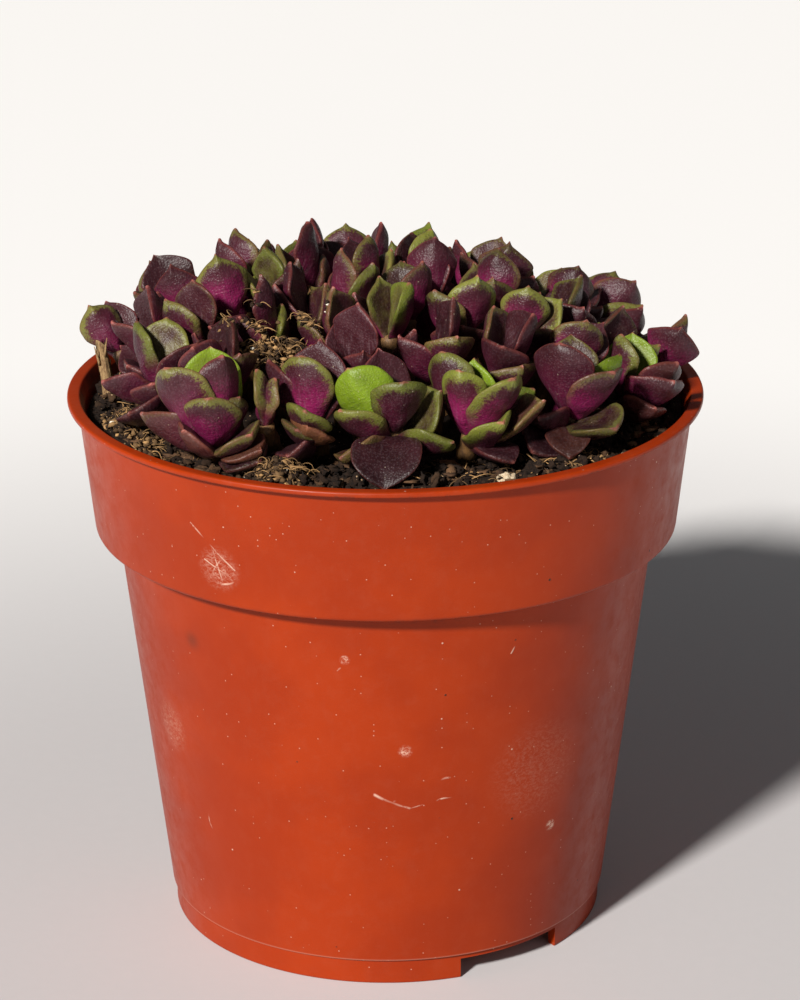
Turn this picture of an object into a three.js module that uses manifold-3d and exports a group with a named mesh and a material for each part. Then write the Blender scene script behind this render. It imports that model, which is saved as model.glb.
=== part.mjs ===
// A potted anacampseros: a mound of short leafy shoots in soil, in an orange nursery pot.
// Millimetres, +Z up. The origin is the middle of the pot's foot, on the surface that it stands on,
// and -Y is the front.

import * as THREE from 'three';
import { mergeVertices } from 'three/addons/utils/BufferGeometryUtils.js';
import Module from 'manifold-3d';

const wasm = await Module();
wasm.setup();

// ---------------------------------------------------------------- driving dimensions

const GAP = 0.3; // between pieces that touch
const HOLE = 0.36; // all round a stem where it stands in the soil

const POT = {
  height: 74.2,
  lipRadius: 42.5,
  lipInnerRadius: 40.85,
  lipThickness: 0.75,
  collarTopRadius: 41.16,
  collarFootRadius: 39.2,
  collarFootHeight: 55.66,
  bodyTopRadius: 36.26,
  bodyFootRadius: 30.0,
  footHeight: 3.56,
  footRadius: 29.5,
  footWidth: 1.4,
  wall: 1.0,
  sides: 36,
};
const NOTCH = { angles: [-55, 125], width: 31, height: 2.8 };
const DRAIN = { count: 6, radius: 2.6, ring: 18, sides: 8 };

const SOIL = {
  level: 71.6,
  ripple: 0.45,
  heaps: [
    { x: -33, y: -15, rise: 1.8, width: 8 },
    { x: -14.5, y: -33, rise: 2.2, width: 4.5 },
    { x: 4, y: -34.5, rise: 1.6, width: 4 },
    { x: 24, y: -29, rise: 1.2, width: 5 },
  ],
  flatEdge: 1,
  rings: 4,
  sides: 26,
};

// A stem leans out from its foot, which stands at footShare of its crown's distance from the middle.
const STEM = {
  footDepth: 9,
  footRadius: 1.5,
  crownRadius: 1.4,
  above: 0.8,
  footShare: 0.74,
  sides: 5,
  ballsApart: 1.5,
  leastLeaves: 2,
};

// The mound's own top, above which no leaf of the plain shoots reaches.
const MOUND = { x: -4, y: 0, height: 91.6, rimHeight: 74, radius: 42, power: 4 };
const REACH = { radius: 41.8, insideRim: 39.4 };

const LEAF = {
  thickness: 2.1,
  keel: 0.5,
  footOut: 0.5, // from the stem's axis
  footWidth: 0.24, // share of the full width
  footThickness: 0.6, // share of the full thickness
  thickFrom: 1 / 3, // share of the length
  thinning: 0.45, // towards the tip, as a share of the full thickness
  widestAt: 0.65, // share of the length
  taper: 1.3,
  blunt: { shoulder: 2, power: 0.5 },
  sharper: { shoulder: -0.6, power: 0.45 }, // added in full to a leaf whose point is 1
  rings: [0, 0.5, 0.82],
};

// The plain shoots stand in a sunflower's spiral, where the front shoots leave them room.
const GOLDEN_ANGLE = 137.5;
const SPIRAL = {
  count: 56,
  spread: 4.9,
  astray: 0.8,
  room: 7.2,
  edge: 36.8,
  front: -27,
  belowMound: 8.6,
  aboveSoil: 3.5,
};

// Leaves of the plain shoots, from the innermost, which stands up, to the outermost. The front shoots
// get only the outer ones of these, from frontFrom on, behind the leaves that are set by hand.
const PLAIN = {
  leaves: 9,
  innerLeaves: 6, // on the shoots that others hide, less than innerRadius from the middle
  innerRadius: 24,
  frontFrom: 6,
  length: 8.4,
  longer: 2.2,
  lengthShare: [0.92, 1.08],
  widthShare: [0.76, 0.9],
  roll: 26,
  point: [0.35, 1],
  bend: [0.1, 0.4],
  fold: [0.15, 0.45],
  astray: 8,
  rise: 76,
  lower: 46,
  riseAstray: 9,
  drop: 7,
  leastHeight: 2.5,
  shootTone: 0.4,
  tone: [-0.25, 0.35],
};
const FRONT = { bend: [0.1, 0.35], fold: [0.15, 0.4], lowRise: 40, lowDrop: 1.5 };

// The front shoots, whose leaves are set one by one: the crown, then for each leaf its direction and
// rise in degrees (0 is +X, 90 is the back), length, width, roll in degrees, how pointed it is from
// 0 to 1, its tone from 0 for maroon to 1 for green and, where a leaf hangs, its bend in radians.
// A slender shoot has no other leaves than these.
const FRONT_SHOOTS = {
  shoot_b: {
    slender: true,
    crown: [-15.2, -26, 77],
    leaves: [
      [-60, 86, 7.5, 5.5, 60, 0.1, 0.35],
      [120, 86, 7.0, 5.0, 60, 0.1, 0.3],
    ],
  },
  shoot_a: {
    crown: [-21.5, -27, 75],
    leaves: [
      [-147, 52, 12.5, 8.5, 30, 0.1, 0.35],
      [-50, 70, 12.0, 8.0, 0, 0.3, 0.15],
      [100, 66, 12.0, 8.0, 0, 0.2, 0.8],
      [-25, 55, 9.5, 7.5, -30, 0.2, 0.3],
      [-95, 50, 9.0, 7.5, 0, 0.1, 0.35],
      [-58, 28, 9.0, 7.5, 22, 0.2, 0.3],
      [185, 32, 10.5, 8.5, 40, 0.8, 0.2],
      [-128, 14, 9.0, 7.0, -25, 0.4, 0.1],
      [-85, 3, 9.5, 8.0, 20, 0.2, 0.2],
      [-40, 14, 8.5, 6.5, 20, 0.5, 0.1],
    ],
  },
  shoot_d: {
    crown: [1, -26, 76.5],
    leaves: [
      [-160, 55, 10.0, 7.8, 60, 0.1, 1],
      [-140, 28, 9.5, 7.0, 20, 0.3, 0.45],
      [-75, 52, 9.5, 7.5, 0, 0.1, 0.5],
      [-95, 14, 12.0, 9.0, 0, 0.2, 0.15, -1.2],
      [-45, 4, 9.5, 7.0, -35, 0.5, 0.5],
      [120, 62, 10.0, 7.5, 0, 0.5, 0.1],
      [-130, -5, 9.0, 7.0, 30, 0.3, 0.3],
    ],
  },
  shoot_c: {
    crown: [-9, -24, 76],
    leaves: [
      [-140, 63, 10.5, 8.0, 25, 0.0, 0.4],
      [-100, 40, 10.0, 7.0, -25, 0.4, 0.45],
      [-142, 20, 10.0, 8.0, -15, 0.3, 0.3],
      [70, 70, 11.0, 9.0, 0, 0.8, 0],
      [158, 60, 10.5, 7.0, 30, 0.6, 0.05],
      [-78, 18, 10.0, 7.0, -25, 0.3, 0.1],
      [-110, 0, 8.5, 7.0, 30, 0.5, 0.15],
    ],
  },
  shoot_e: {
    crown: [11, -24, 75],
    leaves: [
      [-168, 66, 11.5, 7.5, 40, 0.0, 0.45],
      [-113, 62, 10.5, 6.5, 0, 0.1, 0.5],
      [75, 74, 9.5, 7.0, 0, 0.6, 0.9],
      [-52, 45, 12.5, 7.5, 0, 0.0, 0.45],
      [0, 38, 10.5, 8.0, -35, 0.3, 0.6],
      [-62, 26, 10.5, 7.0, 15, 0.1, 0.5],
      [-80, 5, 11.0, 7.5, 0, 0.3, 0.1, -0.6],
      [-20, 22, 12.0, 7.5, 25, 0.8, 0.3],
    ],
  },
  shoot_f: {
    crown: [24, -19, 76],
    leaves: [
      [-119, 65, 11.0, 8.5, 0, 0.0, 0.15],
      [-49, 42, 10.5, 8.5, 0, 0.1, 0.25],
      [-55, 10, 10.5, 7.5, 18, 0.0, 0.35],
      [-90, 4, 9.5, 6.0, 0, 0.3, 0.05, -0.6],
      [10, 44, 9.5, 7.5, -40, 0.5, 0.9],
      [90, 62, 10.0, 7.0, 0, 0.4, 0.3],
      [-140, 30, 8.0, 6.5, 25, 0.5, 0.1],
      [-120, 0, 9.0, 7.0, -25, 0.4, 0.1],
    ],
  },
  shoot_g: {
    crown: [32, -10, 75],
    leaves: [
      [-27, 40, 8.5, 7.0, -30, 0.4, 0.05],
      [0, 20, 8.0, 7.0, -30, 0.4, 0.1],
      [-65, 12, 8.0, 6.5, -25, 0.4, 0.1],
      [80, 65, 8.5, 7.0, 0, 0.3, 0.8],
      [-160, 66, 9.0, 6.5, 0, 0.1, 0.4],
    ],
  },
  shoot_i: {
    crown: [-29, -14, 78],
    leaves: [
      [-40, 46, 9.5, 8.0, 0, 0.0, 0.05],
      [-97, 24, 8.0, 7.0, 25, 0.2, 0.15],
      [144, 60, 9.0, 7.0, 40, 0.3, 0.5],
      [-162, 18, 8.5, 7.0, 30, 0.3, 0.1],
      [80, 60, 9.0, 7.0, 0, 0.3, 0.4],
    ],
  },
};

const DRY_STALK = {
  foot: [-36, 1, 64],
  top: [-38.2, 2.5, 80],
  footRadius: 1.2,
  topRadius: 0.6,
  sides: 5,
  ballShares: [0.4, 0.5, 0.6, 0.7, 0.8, 0.9, 1],
};

// Pale grit: each chip's place on the soil, its half sizes, its turn in degrees.
const CHIPS = {
  perlite_a: { place: [15.5, -31.5], size: [1.5, 1.0, 1.1], turn: 20 },
  perlite_b: { place: [31, -21], size: [1.0, 0.8, 0.8], turn: 70 },
  perlite_c: { place: [-6.5, -34], size: [1.1, 0.8, 0.7], turn: 130 },
};
const CHIP_RISE = 0.4;

// ---------------------------------------------------------------- helpers

const radians = THREE.MathUtils.degToRad;
const vector = (xyz) => new THREE.Vector3(...xyz);
const SAME_POINT = 1e-4;

// Park and Miller's generator, so that every build places the leaves alike.
let seed = 20417;
function draw(low, high) {
  seed = (seed * 16807) % 2147483647;
  return low + ((high - low) * seed) / 2147483647;
}

function toSolid(geometry) {
  const bare = new THREE.BufferGeometry();
  bare.setAttribute('position', geometry.attributes.position);
  bare.setIndex(geometry.index);
  const merged = mergeVertices(bare, SAME_POINT);
  const corners = merged.index.array;
  const kept = [];
  for (let i = 0; i < corners.length; i += 3) {
    const [a, b, c] = corners.slice(i, i + 3);
    if (a !== b && b !== c && c !== a) kept.push(a, b, c);
  }
  return new wasm.Manifold(
    new wasm.Mesh({
      numProp: 3,
      vertProperties: new Float32Array(merged.attributes.position.array),
      triVerts: new Uint32Array(kept),
    }),
  );
}

function toGeometry(solid) {
  const mesh = solid.getMesh();
  const geometry = new THREE.BufferGeometry();
  geometry.setAttribute('position', new THREE.BufferAttribute(mesh.vertProperties, 3));
  geometry.setIndex(new THREE.BufferAttribute(mesh.triVerts, 1));
  return geometry;
}

const part = new THREE.Group();

function addPiece(name, solid, colour, roughness) {
  const geometry = toGeometry(solid);
  geometry.computeVertexNormals();
  const material = new THREE.MeshStandardMaterial({ color: colour, roughness, metalness: 0 });
  const mesh = new THREE.Mesh(geometry, material);
  mesh.name = name;
  part.add(mesh);
}

// A tapered rod between two points.
function rod(foot, top, footRadius, topRadius, sides) {
  const along = top.clone().sub(foot);
  const geometry = new THREE.CylinderGeometry(topRadius, footRadius, along.length(), sides);
  const upright = THREE.Object3D.DEFAULT_UP;
  geometry.applyQuaternion(new THREE.Quaternion().setFromUnitVectors(upright, along.normalize()));
  geometry.translate(...foot.clone().add(top).multiplyScalar(0.5));
  return toSolid(geometry);
}

function turned(profile, sides) {
  const geometry = new THREE.LatheGeometry(profile.map(([r, z]) => new THREE.Vector2(r, z)), sides);
  geometry.rotateX(Math.PI / 2);
  return toSolid(geometry);
}

// ---------------------------------------------------------------- pot

function makePot() {
  const { wall, height, footHeight, collarFootHeight } = POT;
  const shelf = collarFootHeight + wall;
  let pot = turned(
    [
      [0, footHeight],
      [POT.footRadius - POT.footWidth, footHeight],
      [POT.footRadius - POT.footWidth, 0],
      [POT.footRadius, 0],
      [POT.footRadius, footHeight],
      [POT.bodyFootRadius, footHeight],
      [POT.bodyTopRadius, collarFootHeight],
      [POT.collarFootRadius, collarFootHeight],
      [POT.collarTopRadius, height - POT.lipThickness],
      [POT.lipRadius, height - POT.lipThickness],
      [POT.lipRadius, height],
      [POT.lipInnerRadius, height],
      [POT.collarTopRadius - wall, height - 2 * POT.lipThickness],
      [POT.collarFootRadius - wall, shelf],
      [POT.bodyTopRadius - wall, shelf],
      [POT.bodyFootRadius - wall, footHeight + wall],
      [0, footHeight + wall],
    ],
    POT.sides,
  );
  for (const angle of NOTCH.angles) {
    const width = 2 * POT.footRadius * Math.sin(radians(NOTCH.width / 2));
    const gate = new THREE.BoxGeometry(2 * POT.footRadius, width, NOTCH.height + 1);
    gate.translate(POT.footRadius, 0, (NOTCH.height - 1) / 2);
    gate.rotateZ(radians(angle));
    pot = pot.subtract(toSolid(gate));
  }
  for (let i = 0; i < DRAIN.count; i++) {
    const hole = new THREE.CylinderGeometry(DRAIN.radius, DRAIN.radius, 4 * wall, DRAIN.sides);
    hole.rotateX(Math.PI / 2);
    hole.translate(DRAIN.ring, 0, footHeight);
    hole.rotateZ((i / DRAIN.count) * 2 * Math.PI);
    pot = pot.subtract(toSolid(hole));
  }
  addPiece('pot', pot, '#c4501f', 0.5);
}

// ---------------------------------------------------------------- soil

function soilHeight(x, y) {
  const waves = Math.sin(x / 3.1 + 1) * Math.cos(y / 3.7) + 0.6 * Math.sin((x + y) / 1.9);
  let height = SOIL.level + SOIL.ripple * waves;
  for (const heap of SOIL.heaps) {
    height += heap.rise * Math.exp(-((x - heap.x) ** 2 + (y - heap.y) ** 2) / heap.width ** 2);
  }
  return height;
}

function makeSoil(hollows) {
  const clear = POT.wall + GAP;
  const floor = POT.footHeight + clear;
  const shelf = POT.collarFootHeight + clear;
  const slope = (POT.collarTopRadius - POT.collarFootRadius) / (POT.height - POT.collarFootHeight);
  const edge = POT.collarTopRadius - clear - slope * (POT.height - SOIL.level);
  const rings = [
    [0, floor],
    [POT.bodyFootRadius - clear, floor],
    [POT.bodyTopRadius - clear, shelf],
    [POT.collarFootRadius - clear, shelf],
    [edge, SOIL.level],
  ];
  const underTop = rings.length;
  for (let i = SOIL.rings; i >= 0; i--) {
    rings.push([(edge - SOIL.flatEdge) * (i / SOIL.rings), SOIL.level]);
  }
  const geometry = new THREE.LatheGeometry(rings.map(([r, z]) => new THREE.Vector2(r, z)), SOIL.sides);
  geometry.rotateX(Math.PI / 2);
  const place = geometry.attributes.position;
  for (let i = 0; i < place.count; i++) {
    const onTop = i % rings.length >= underTop;
    if (onTop) place.setZ(i, soilHeight(place.getX(i), place.getY(i)));
  }
  let soil = toSolid(geometry);
  for (const hollow of hollows) soil = soil.subtract(hollow);
  addPiece('soil', soil, '#2c241c', 0.95);
}

// ---------------------------------------------------------------- leaves

// A leaf grows from foot along its axis. Its upper face looks along up, and side lies across it.
function makeLeaf(foot, axis, up, size, tone) {
  const side = axis.clone().cross(up).applyAxisAngle(axis, size.roll);
  return { foot, axis, side, up: side.clone().cross(axis), tone, ...size };
}

function leafOutline(leaf, t) {
  const { footWidth, widestAt, taper, blunt, sharper } = LEAF;
  if (t < widestAt) {
    return footWidth + (1 - footWidth) * Math.sin((Math.PI / 2) * (t / widestAt)) ** taper;
  }
  const end = (t - widestAt) / (1 - widestAt);
  const shoulder = blunt.shoulder + sharper.shoulder * leaf.point;
  return Math.max(0, 1 - end ** shoulder) ** (blunt.power + sharper.power * leaf.point);
}

// A point of the leaf: t runs from foot to tip, across from -1 to 1, rise from the middle of the leaf.
function leafPoint(leaf, t, across, rise) {
  const angle = leaf.bend * t;
  const half = (leaf.width / 2) * leafOutline(leaf, t);
  const ahead = (leaf.length * Math.sin(angle)) / leaf.bend;
  const lift = (leaf.length * (1 - Math.cos(angle))) / leaf.bend;
  const above = rise + leaf.fold * half * Math.abs(across) ** 1.5;
  return leaf.foot
    .clone()
    .addScaledVector(leaf.axis, ahead - above * Math.sin(angle))
    .addScaledVector(leaf.up, lift + above * Math.cos(angle))
    .addScaledVector(leaf.side, across * half);
}

function leafThickness(t) {
  const { footThickness, thickFrom, thinning } = LEAF;
  return footThickness + (1 - footThickness) * Math.min(1, t / thickFrom) - thinning * t * t;
}

// Four corners a ring: one margin, the upper face's middle, the other margin and the keel.
function leafRing(leaf, t) {
  const middle = (LEAF.thickness / 2) * leafThickness(t);
  const keel = LEAF.keel * leafThickness(t);
  return [
    [-1, 0],
    [0, middle],
    [1, 0],
    [0, -middle - keel],
  ].map(([across, rise]) => leafPoint(leaf, t, across, rise));
}

function leafSolid(leaf) {
  const points = LEAF.rings.flatMap((t) => leafRing(leaf, t));
  const tip = points.push(leafPoint(leaf, 1, 0, 0)) - 1;
  const faces = [0, 2, 1, 0, 3, 2];
  for (let ring = 0; ring < LEAF.rings.length; ring++) {
    for (let i = 0; i < 4; i++) {
      const here = 4 * ring + i;
      const next = 4 * ring + ((i + 1) % 4);
      if (ring === LEAF.rings.length - 1) faces.push(here, next, tip);
      else faces.push(here, next, here + 4, next, next + 4, here + 4);
    }
  }
  const geometry = new THREE.BufferGeometry();
  const places = points.flatMap((point) => point.toArray());
  geometry.setAttribute('position', new THREE.Float32BufferAttribute(places, 3));
  geometry.setIndex(faces);
  return toSolid(geometry);
}

// ---------------------------------------------------------------- room for the leaves

// Every leaf and stem is also a set of small balls, by which each leaf is kept clear of the others.
// Leaves of one shoot grow together at their feet, and may press on each other above.
const BALL = {
  along: [0.14, 0.3, 0.46, 0.62, 0.78, 0.94],
  across: [-0.84, -0.42, 0, 0.42, 0.84],
  radius: 1.05,
  smaller: 0.6, // at the margins
  freeFrom: 0.45,
  pressed: 0.72,
  pressedFront: 0.35,
};

function leafBalls(leaf) {
  return BALL.along.flatMap((t) =>
    BALL.across.map((across) => ({
      place: leafPoint(leaf, t, across, 0),
      radius: BALL.radius - BALL.smaller * Math.abs(across),
      free: t > BALL.freeFrom,
    })),
  );
}

function inReach({ place, radius }) {
  const out = Math.hypot(place.x, place.y) + radius;
  if (out > REACH.radius) return false;
  if (out > REACH.insideRim && place.z - radius < POT.height + GAP) return false;
  return place.z - radius > soilHeight(place.x, place.y) + GAP;
}

const taken = [];

function isClear(balls, shoot, pressed) {
  if (!balls.every(inReach)) return false;
  return taken.every((other) =>
    balls.every((ball) => {
      const away = ball.place.distanceTo(other.place);
      const reach = ball.radius + other.radius;
      if (other.shoot !== shoot) return away > reach + GAP;
      return !(ball.free && other.free) || away > reach * pressed;
    }),
  );
}

function take(balls, shoot) {
  for (const ball of balls) taken.push({ ...ball, shoot });
}

// Where a leaf has no room it turns by so many degrees, rises by so many, or stays smaller by a share.
const TRIES = [
  [0, 0, 1],
  [0, 7, 1],
  [0, -7, 1],
  [10, 0, 1],
  [-10, 0, 1],
  [0, 14, 0.95],
  [0, -14, 0.95],
  [20, 5, 0.92],
  [-20, 5, 0.92],
  [20, -10, 0.92],
  [-20, -10, 0.92],
  [35, 0, 0.85],
  [-35, 0, 0.85],
  [0, 22, 0.85],
  [0, 5, 0.75],
  [30, 12, 0.75],
  [-30, 12, 0.75],
];

// ---------------------------------------------------------------- shoots

function moundTop(x, y) {
  const out = Math.hypot(x - MOUND.x, y - MOUND.y) / MOUND.radius;
  return MOUND.rimHeight + (MOUND.height - MOUND.rimHeight) * (1 - Math.min(1, out) ** MOUND.power);
}

function newShoot(crown) {
  const foot = crown.clone().multiplyScalar(STEM.footShare).setZ(SOIL.level - STEM.footDepth);
  return { crown, foot, axis: crown.clone().sub(foot).normalize(), leaves: [] };
}

// The leaf of a shoot that turns and rises so many degrees about the given axis.
function aimLeaf(shoot, axis, turn, rise, drop, size, tone) {
  const east = new THREE.Vector3(1, 0, 0).addScaledVector(axis, -axis.x).normalize();
  const north = axis.clone().cross(east);
  const out = east.multiplyScalar(Math.cos(radians(turn)));
  out.addScaledVector(north, Math.sin(radians(turn)));
  const upward = Math.sin(radians(rise));
  const outward = Math.cos(radians(rise));
  const along = axis.clone().multiplyScalar(upward).addScaledVector(out, outward);
  const up = axis.clone().multiplyScalar(outward).addScaledVector(out, -upward);
  const foot = shoot.crown.clone().addScaledVector(shoot.axis, -drop).addScaledVector(along, LEAF.footOut);
  return makeLeaf(foot, along, up, size, tone);
}

function growLeaf(shoot, name, axis, turn, rise, drop, pressed, size, tone) {
  for (const [turnBy, riseBy, share] of TRIES) {
    const smaller = { ...size, length: size.length * share, width: size.width * share };
    const leaf = aimLeaf(shoot, axis, turn + turnBy, rise + riseBy, drop, smaller, tone);
    const balls = leafBalls(leaf);
    if (!isClear(balls, name, pressed)) continue;
    shoot.leaves.push(leaf);
    take(balls, name);
    return true;
  }
  return false;
}

function placeShoots() {
  const shoots = {};
  const stalkFoot = vector(DRY_STALK.foot);
  const stalkTop = vector(DRY_STALK.top);
  for (const share of DRY_STALK.ballShares) {
    const place = stalkFoot.clone().lerp(stalkTop, share);
    take([{ place, radius: DRY_STALK.footRadius, free: false }], 'dry_stalk');
  }
  for (const [name, { crown }] of Object.entries(FRONT_SHOOTS)) shoots[name] = newShoot(vector(crown));
  const front = Object.values(shoots);
  for (let k = 0; k < SPIRAL.count; k++) {
    const out = SPIRAL.spread * Math.sqrt(k + 0.5);
    const x = out * Math.cos(radians(k * GOLDEN_ANGLE)) + draw(-SPIRAL.astray, SPIRAL.astray);
    const y = out * Math.sin(radians(k * GOLDEN_ANGLE)) + draw(-SPIRAL.astray, SPIRAL.astray);
    const crowded = front.some(({ crown }) => Math.hypot(crown.x - x, crown.y - y) < SPIRAL.room);
    if (crowded || Math.hypot(x, y) >= SPIRAL.edge || y <= SPIRAL.front) continue;
    const z = Math.max(moundTop(x, y) - SPIRAL.belowMound, SOIL.level + SPIRAL.aboveSoil);
    shoots[`shoot_${k + 1}`] = newShoot(new THREE.Vector3(x, y, z));
  }
  for (const [name, shoot] of Object.entries(shoots)) {
    const length = shoot.crown.distanceTo(shoot.foot);
    for (let at = STEM.footDepth; at < length; at += STEM.ballsApart) {
      const place = shoot.foot.clone().addScaledVector(shoot.axis, at);
      take([{ place, radius: STEM.footRadius, free: false }], name);
    }
  }
  return shoots;
}

function growFrontLeaves(shoots) {
  const upright = new THREE.Vector3(0, 0, 1);
  for (const [name, { leaves }] of Object.entries(FRONT_SHOOTS)) {
    for (const [turn, rise, length, width, roll, point, tone, bend = draw(...FRONT.bend)] of leaves) {
      const size = { length, width, roll: radians(roll), point, bend, fold: draw(...FRONT.fold) };
      const drop = rise < FRONT.lowRise ? FRONT.lowDrop : 0;
      growLeaf(shoots[name], name, upright, turn, rise, drop, BALL.pressedFront, size, tone);
    }
  }
}

function growPlainLeaves(shoots) {
  const rows = Object.entries(shoots);
  for (const [, shoot] of rows) {
    shoot.firstTurn = draw(0, 360);
    shoot.tone = draw(0, PLAIN.shootTone);
  }
  for (let i = 0; i < PLAIN.leaves; i++) {
    for (const [name, shoot] of rows) {
      if (name in FRONT_SHOOTS && (FRONT_SHOOTS[name].slender || i < PLAIN.frontFrom)) continue;
      const inside = Math.hypot(shoot.crown.x, shoot.crown.y) < PLAIN.innerRadius;
      if (inside && i >= PLAIN.innerLeaves) continue;
      const outer = i / (PLAIN.leaves - 1);
      const length = (PLAIN.length + PLAIN.longer * outer) * draw(...PLAIN.lengthShare);
      const leaf = {
        length,
        width: length * draw(...PLAIN.widthShare),
        roll: radians(draw(-PLAIN.roll, PLAIN.roll)),
        point: draw(...PLAIN.point),
        bend: draw(...PLAIN.bend),
        fold: draw(...PLAIN.fold),
      };
      const turn = shoot.firstTurn + i * GOLDEN_ANGLE + draw(-PLAIN.astray, PLAIN.astray);
      const rise = PLAIN.rise - PLAIN.lower * outer + draw(-PLAIN.riseAstray, PLAIN.riseAstray);
      const drop = outer * Math.min(PLAIN.drop, shoot.crown.z - SOIL.level - PLAIN.leastHeight);
      const tone = shoot.tone + draw(...PLAIN.tone);
      growLeaf(shoot, name, shoot.axis, turn, rise, drop, BALL.pressed, leaf, tone);
    }
  }
}

function makeShoots() {
  const shoots = placeShoots();
  growFrontLeaves(shoots);
  growPlainLeaves(shoots);
  const holes = [];
  for (const [name, { foot, crown, axis, leaves }] of Object.entries(shoots)) {
    if (leaves.length < STEM.leastLeaves) continue;
    const { footRadius, crownRadius, sides } = STEM;
    let solid = rod(foot, crown.clone().addScaledVector(axis, STEM.above), footRadius, crownRadius, sides);
    for (const leaf of leaves) solid = solid.add(leafSolid(leaf));
    const tone = leaves.reduce((sum, leaf) => sum + Math.max(0, leaf.tone), 0) / leaves.length;
    addPiece(name, solid, new THREE.Color('#4a1f2b').lerp(new THREE.Color('#8a9a2c'), tone), 0.6);
    const below = foot.clone().addScaledVector(axis, -GAP);
    holes.push(rod(below, crown, footRadius + HOLE, crownRadius + HOLE, sides));
  }
  return holes;
}

// ---------------------------------------------------------------- small things on the soil

function makeDryStalk() {
  const { foot, top, footRadius, topRadius, sides } = DRY_STALK;
  addPiece('dry_stalk', rod(vector(foot), vector(top), footRadius, topRadius, sides), '#8d7345', 0.9);
  const below = vector(foot).setZ(foot[2] - GAP);
  return rod(below, vector(top), footRadius + HOLE, topRadius + HOLE, sides);
}

// Half sunk in the soil, each in a pocket of its own, which is returned.
function makeChips() {
  return Object.entries(CHIPS).map(([name, { place, size, turn }]) => {
    const [chip, pocket] = [0, GAP].map((wider) => {
      const stone = new THREE.IcosahedronGeometry(1, 0);
      stone.scale(...size.map((half) => half + wider));
      stone.rotateZ(radians(turn));
      stone.translate(...place, soilHeight(...place) + CHIP_RISE);
      return toSolid(stone);
    });
    addPiece(name, chip, '#d9d2bd', 0.9);
    return pocket;
  });
}

makePot();
makeSoil([...makeShoots(), makeDryStalk(), ...makeChips()]);

export default part;
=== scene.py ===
"""A potted anacampseros: a mound of thick maroon and green leaves in an orange nursery pot.

It is laid out as an add-on whose operators dress the solid model, piece by piece. Sizes are in
millimetres until a mesh is made. +Z is up, -Y is the front, and the pot's foot stands at the origin.
"""

import math
import random

import bmesh
import bpy
import numpy as np
from mathutils import Matrix, Vector, noise
from mathutils.bvhtree import BVHTree


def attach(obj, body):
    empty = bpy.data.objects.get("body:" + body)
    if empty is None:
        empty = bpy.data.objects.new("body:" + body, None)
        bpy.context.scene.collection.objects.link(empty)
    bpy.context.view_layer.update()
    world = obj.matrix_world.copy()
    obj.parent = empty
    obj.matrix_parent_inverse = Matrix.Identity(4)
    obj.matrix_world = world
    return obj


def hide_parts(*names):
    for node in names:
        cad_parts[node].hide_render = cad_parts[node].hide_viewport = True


bl_info = {
    "name": "Potted Anacampseros",
    "version": (1, 0, 0),
    "blender": (4, 5, 0),
    "location": "View3D > Sidebar > Anacampseros",
    "description": "Dresses a mat-forming succulent, its soil and its nursery pot",
    "category": "Add Mesh",
}

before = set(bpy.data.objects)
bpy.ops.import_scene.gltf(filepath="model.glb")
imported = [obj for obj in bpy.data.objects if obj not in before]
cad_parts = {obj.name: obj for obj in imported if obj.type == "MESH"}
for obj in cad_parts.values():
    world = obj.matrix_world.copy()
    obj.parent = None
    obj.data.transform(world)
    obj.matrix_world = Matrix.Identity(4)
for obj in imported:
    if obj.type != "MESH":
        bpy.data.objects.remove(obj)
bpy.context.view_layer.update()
MM = 0.001
# A little over a whole turn in radians, for pieces that may lie any way round.
FULL_TURN = 6.3

# ---------------------------------------------------------------- sizes that the solids share

GAP = 0.3

POT = {
    "height": 74.2,
    "lip_radius": 42.5,
    "lip_inner_radius": 40.85,
    "lip_thickness": 0.75,
    "collar_top_radius": 41.16,
    "collar_foot_radius": 39.2,
    "collar_foot_height": 55.66,
    "body_top_radius": 36.26,
    "body_foot_radius": 30.0,
    "foot_height": 3.56,
    "foot_radius": 29.5,
    "foot_width": 1.4,
    "wall": 1.0,
}
NOTCH = {"angles": (-55, 125), "width": 31, "height": 2.8}
DRAIN = {"count": 6, "radius": 2.6, "ring": 18}

SOIL = {"level": 71.6, "ripple": 0.45, "waves": (3.1, 3.7, 1.9), "cross_wave": 0.6}
HEAPS = ((-33, -15, 1.8, 8), (-14.5, -33, 2.2, 4.5), (4, -34.5, 1.6, 4), (24, -29, 1.2, 5))
STEM = {
    "foot_depth": 9,
    "foot_radius": 1.5,
    "crown_radius": 1.4,
    "above": 0.8,
    "foot_share": 0.74,
    "balls_apart": 1.5,
    "least_leaves": 2,
}
MOUND = {"x": -4, "y": 0, "height": 91.6, "rim_height": 74, "radius": 42, "power": 4}
REACH = {"radius": 41.8, "inside_rim": 39.4}
LEAF = {
    "thickness": 2.1,
    "keel": 0.5,
    "foot_out": 0.5,
    "foot_width": 0.24,
    "foot_thickness": 0.6,
    "thick_from": 1 / 3,
    "thinning": 0.45,
    "widest_at": 0.65,
    "taper": 1.3,
    "shoulder": (2, -0.6),
    "power": (0.5, 0.45),
    "fold_power": 1.5,
}
SEED = 20417
GOLDEN_ANGLE = 137.5
SPIRAL = {
    "count": 56,
    "spread": 4.9,
    "astray": 0.8,
    "room": 7.2,
    "edge": 36.8,
    "front": -27,
    "below_mound": 8.6,
    "above_soil": 3.5,
}
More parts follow.
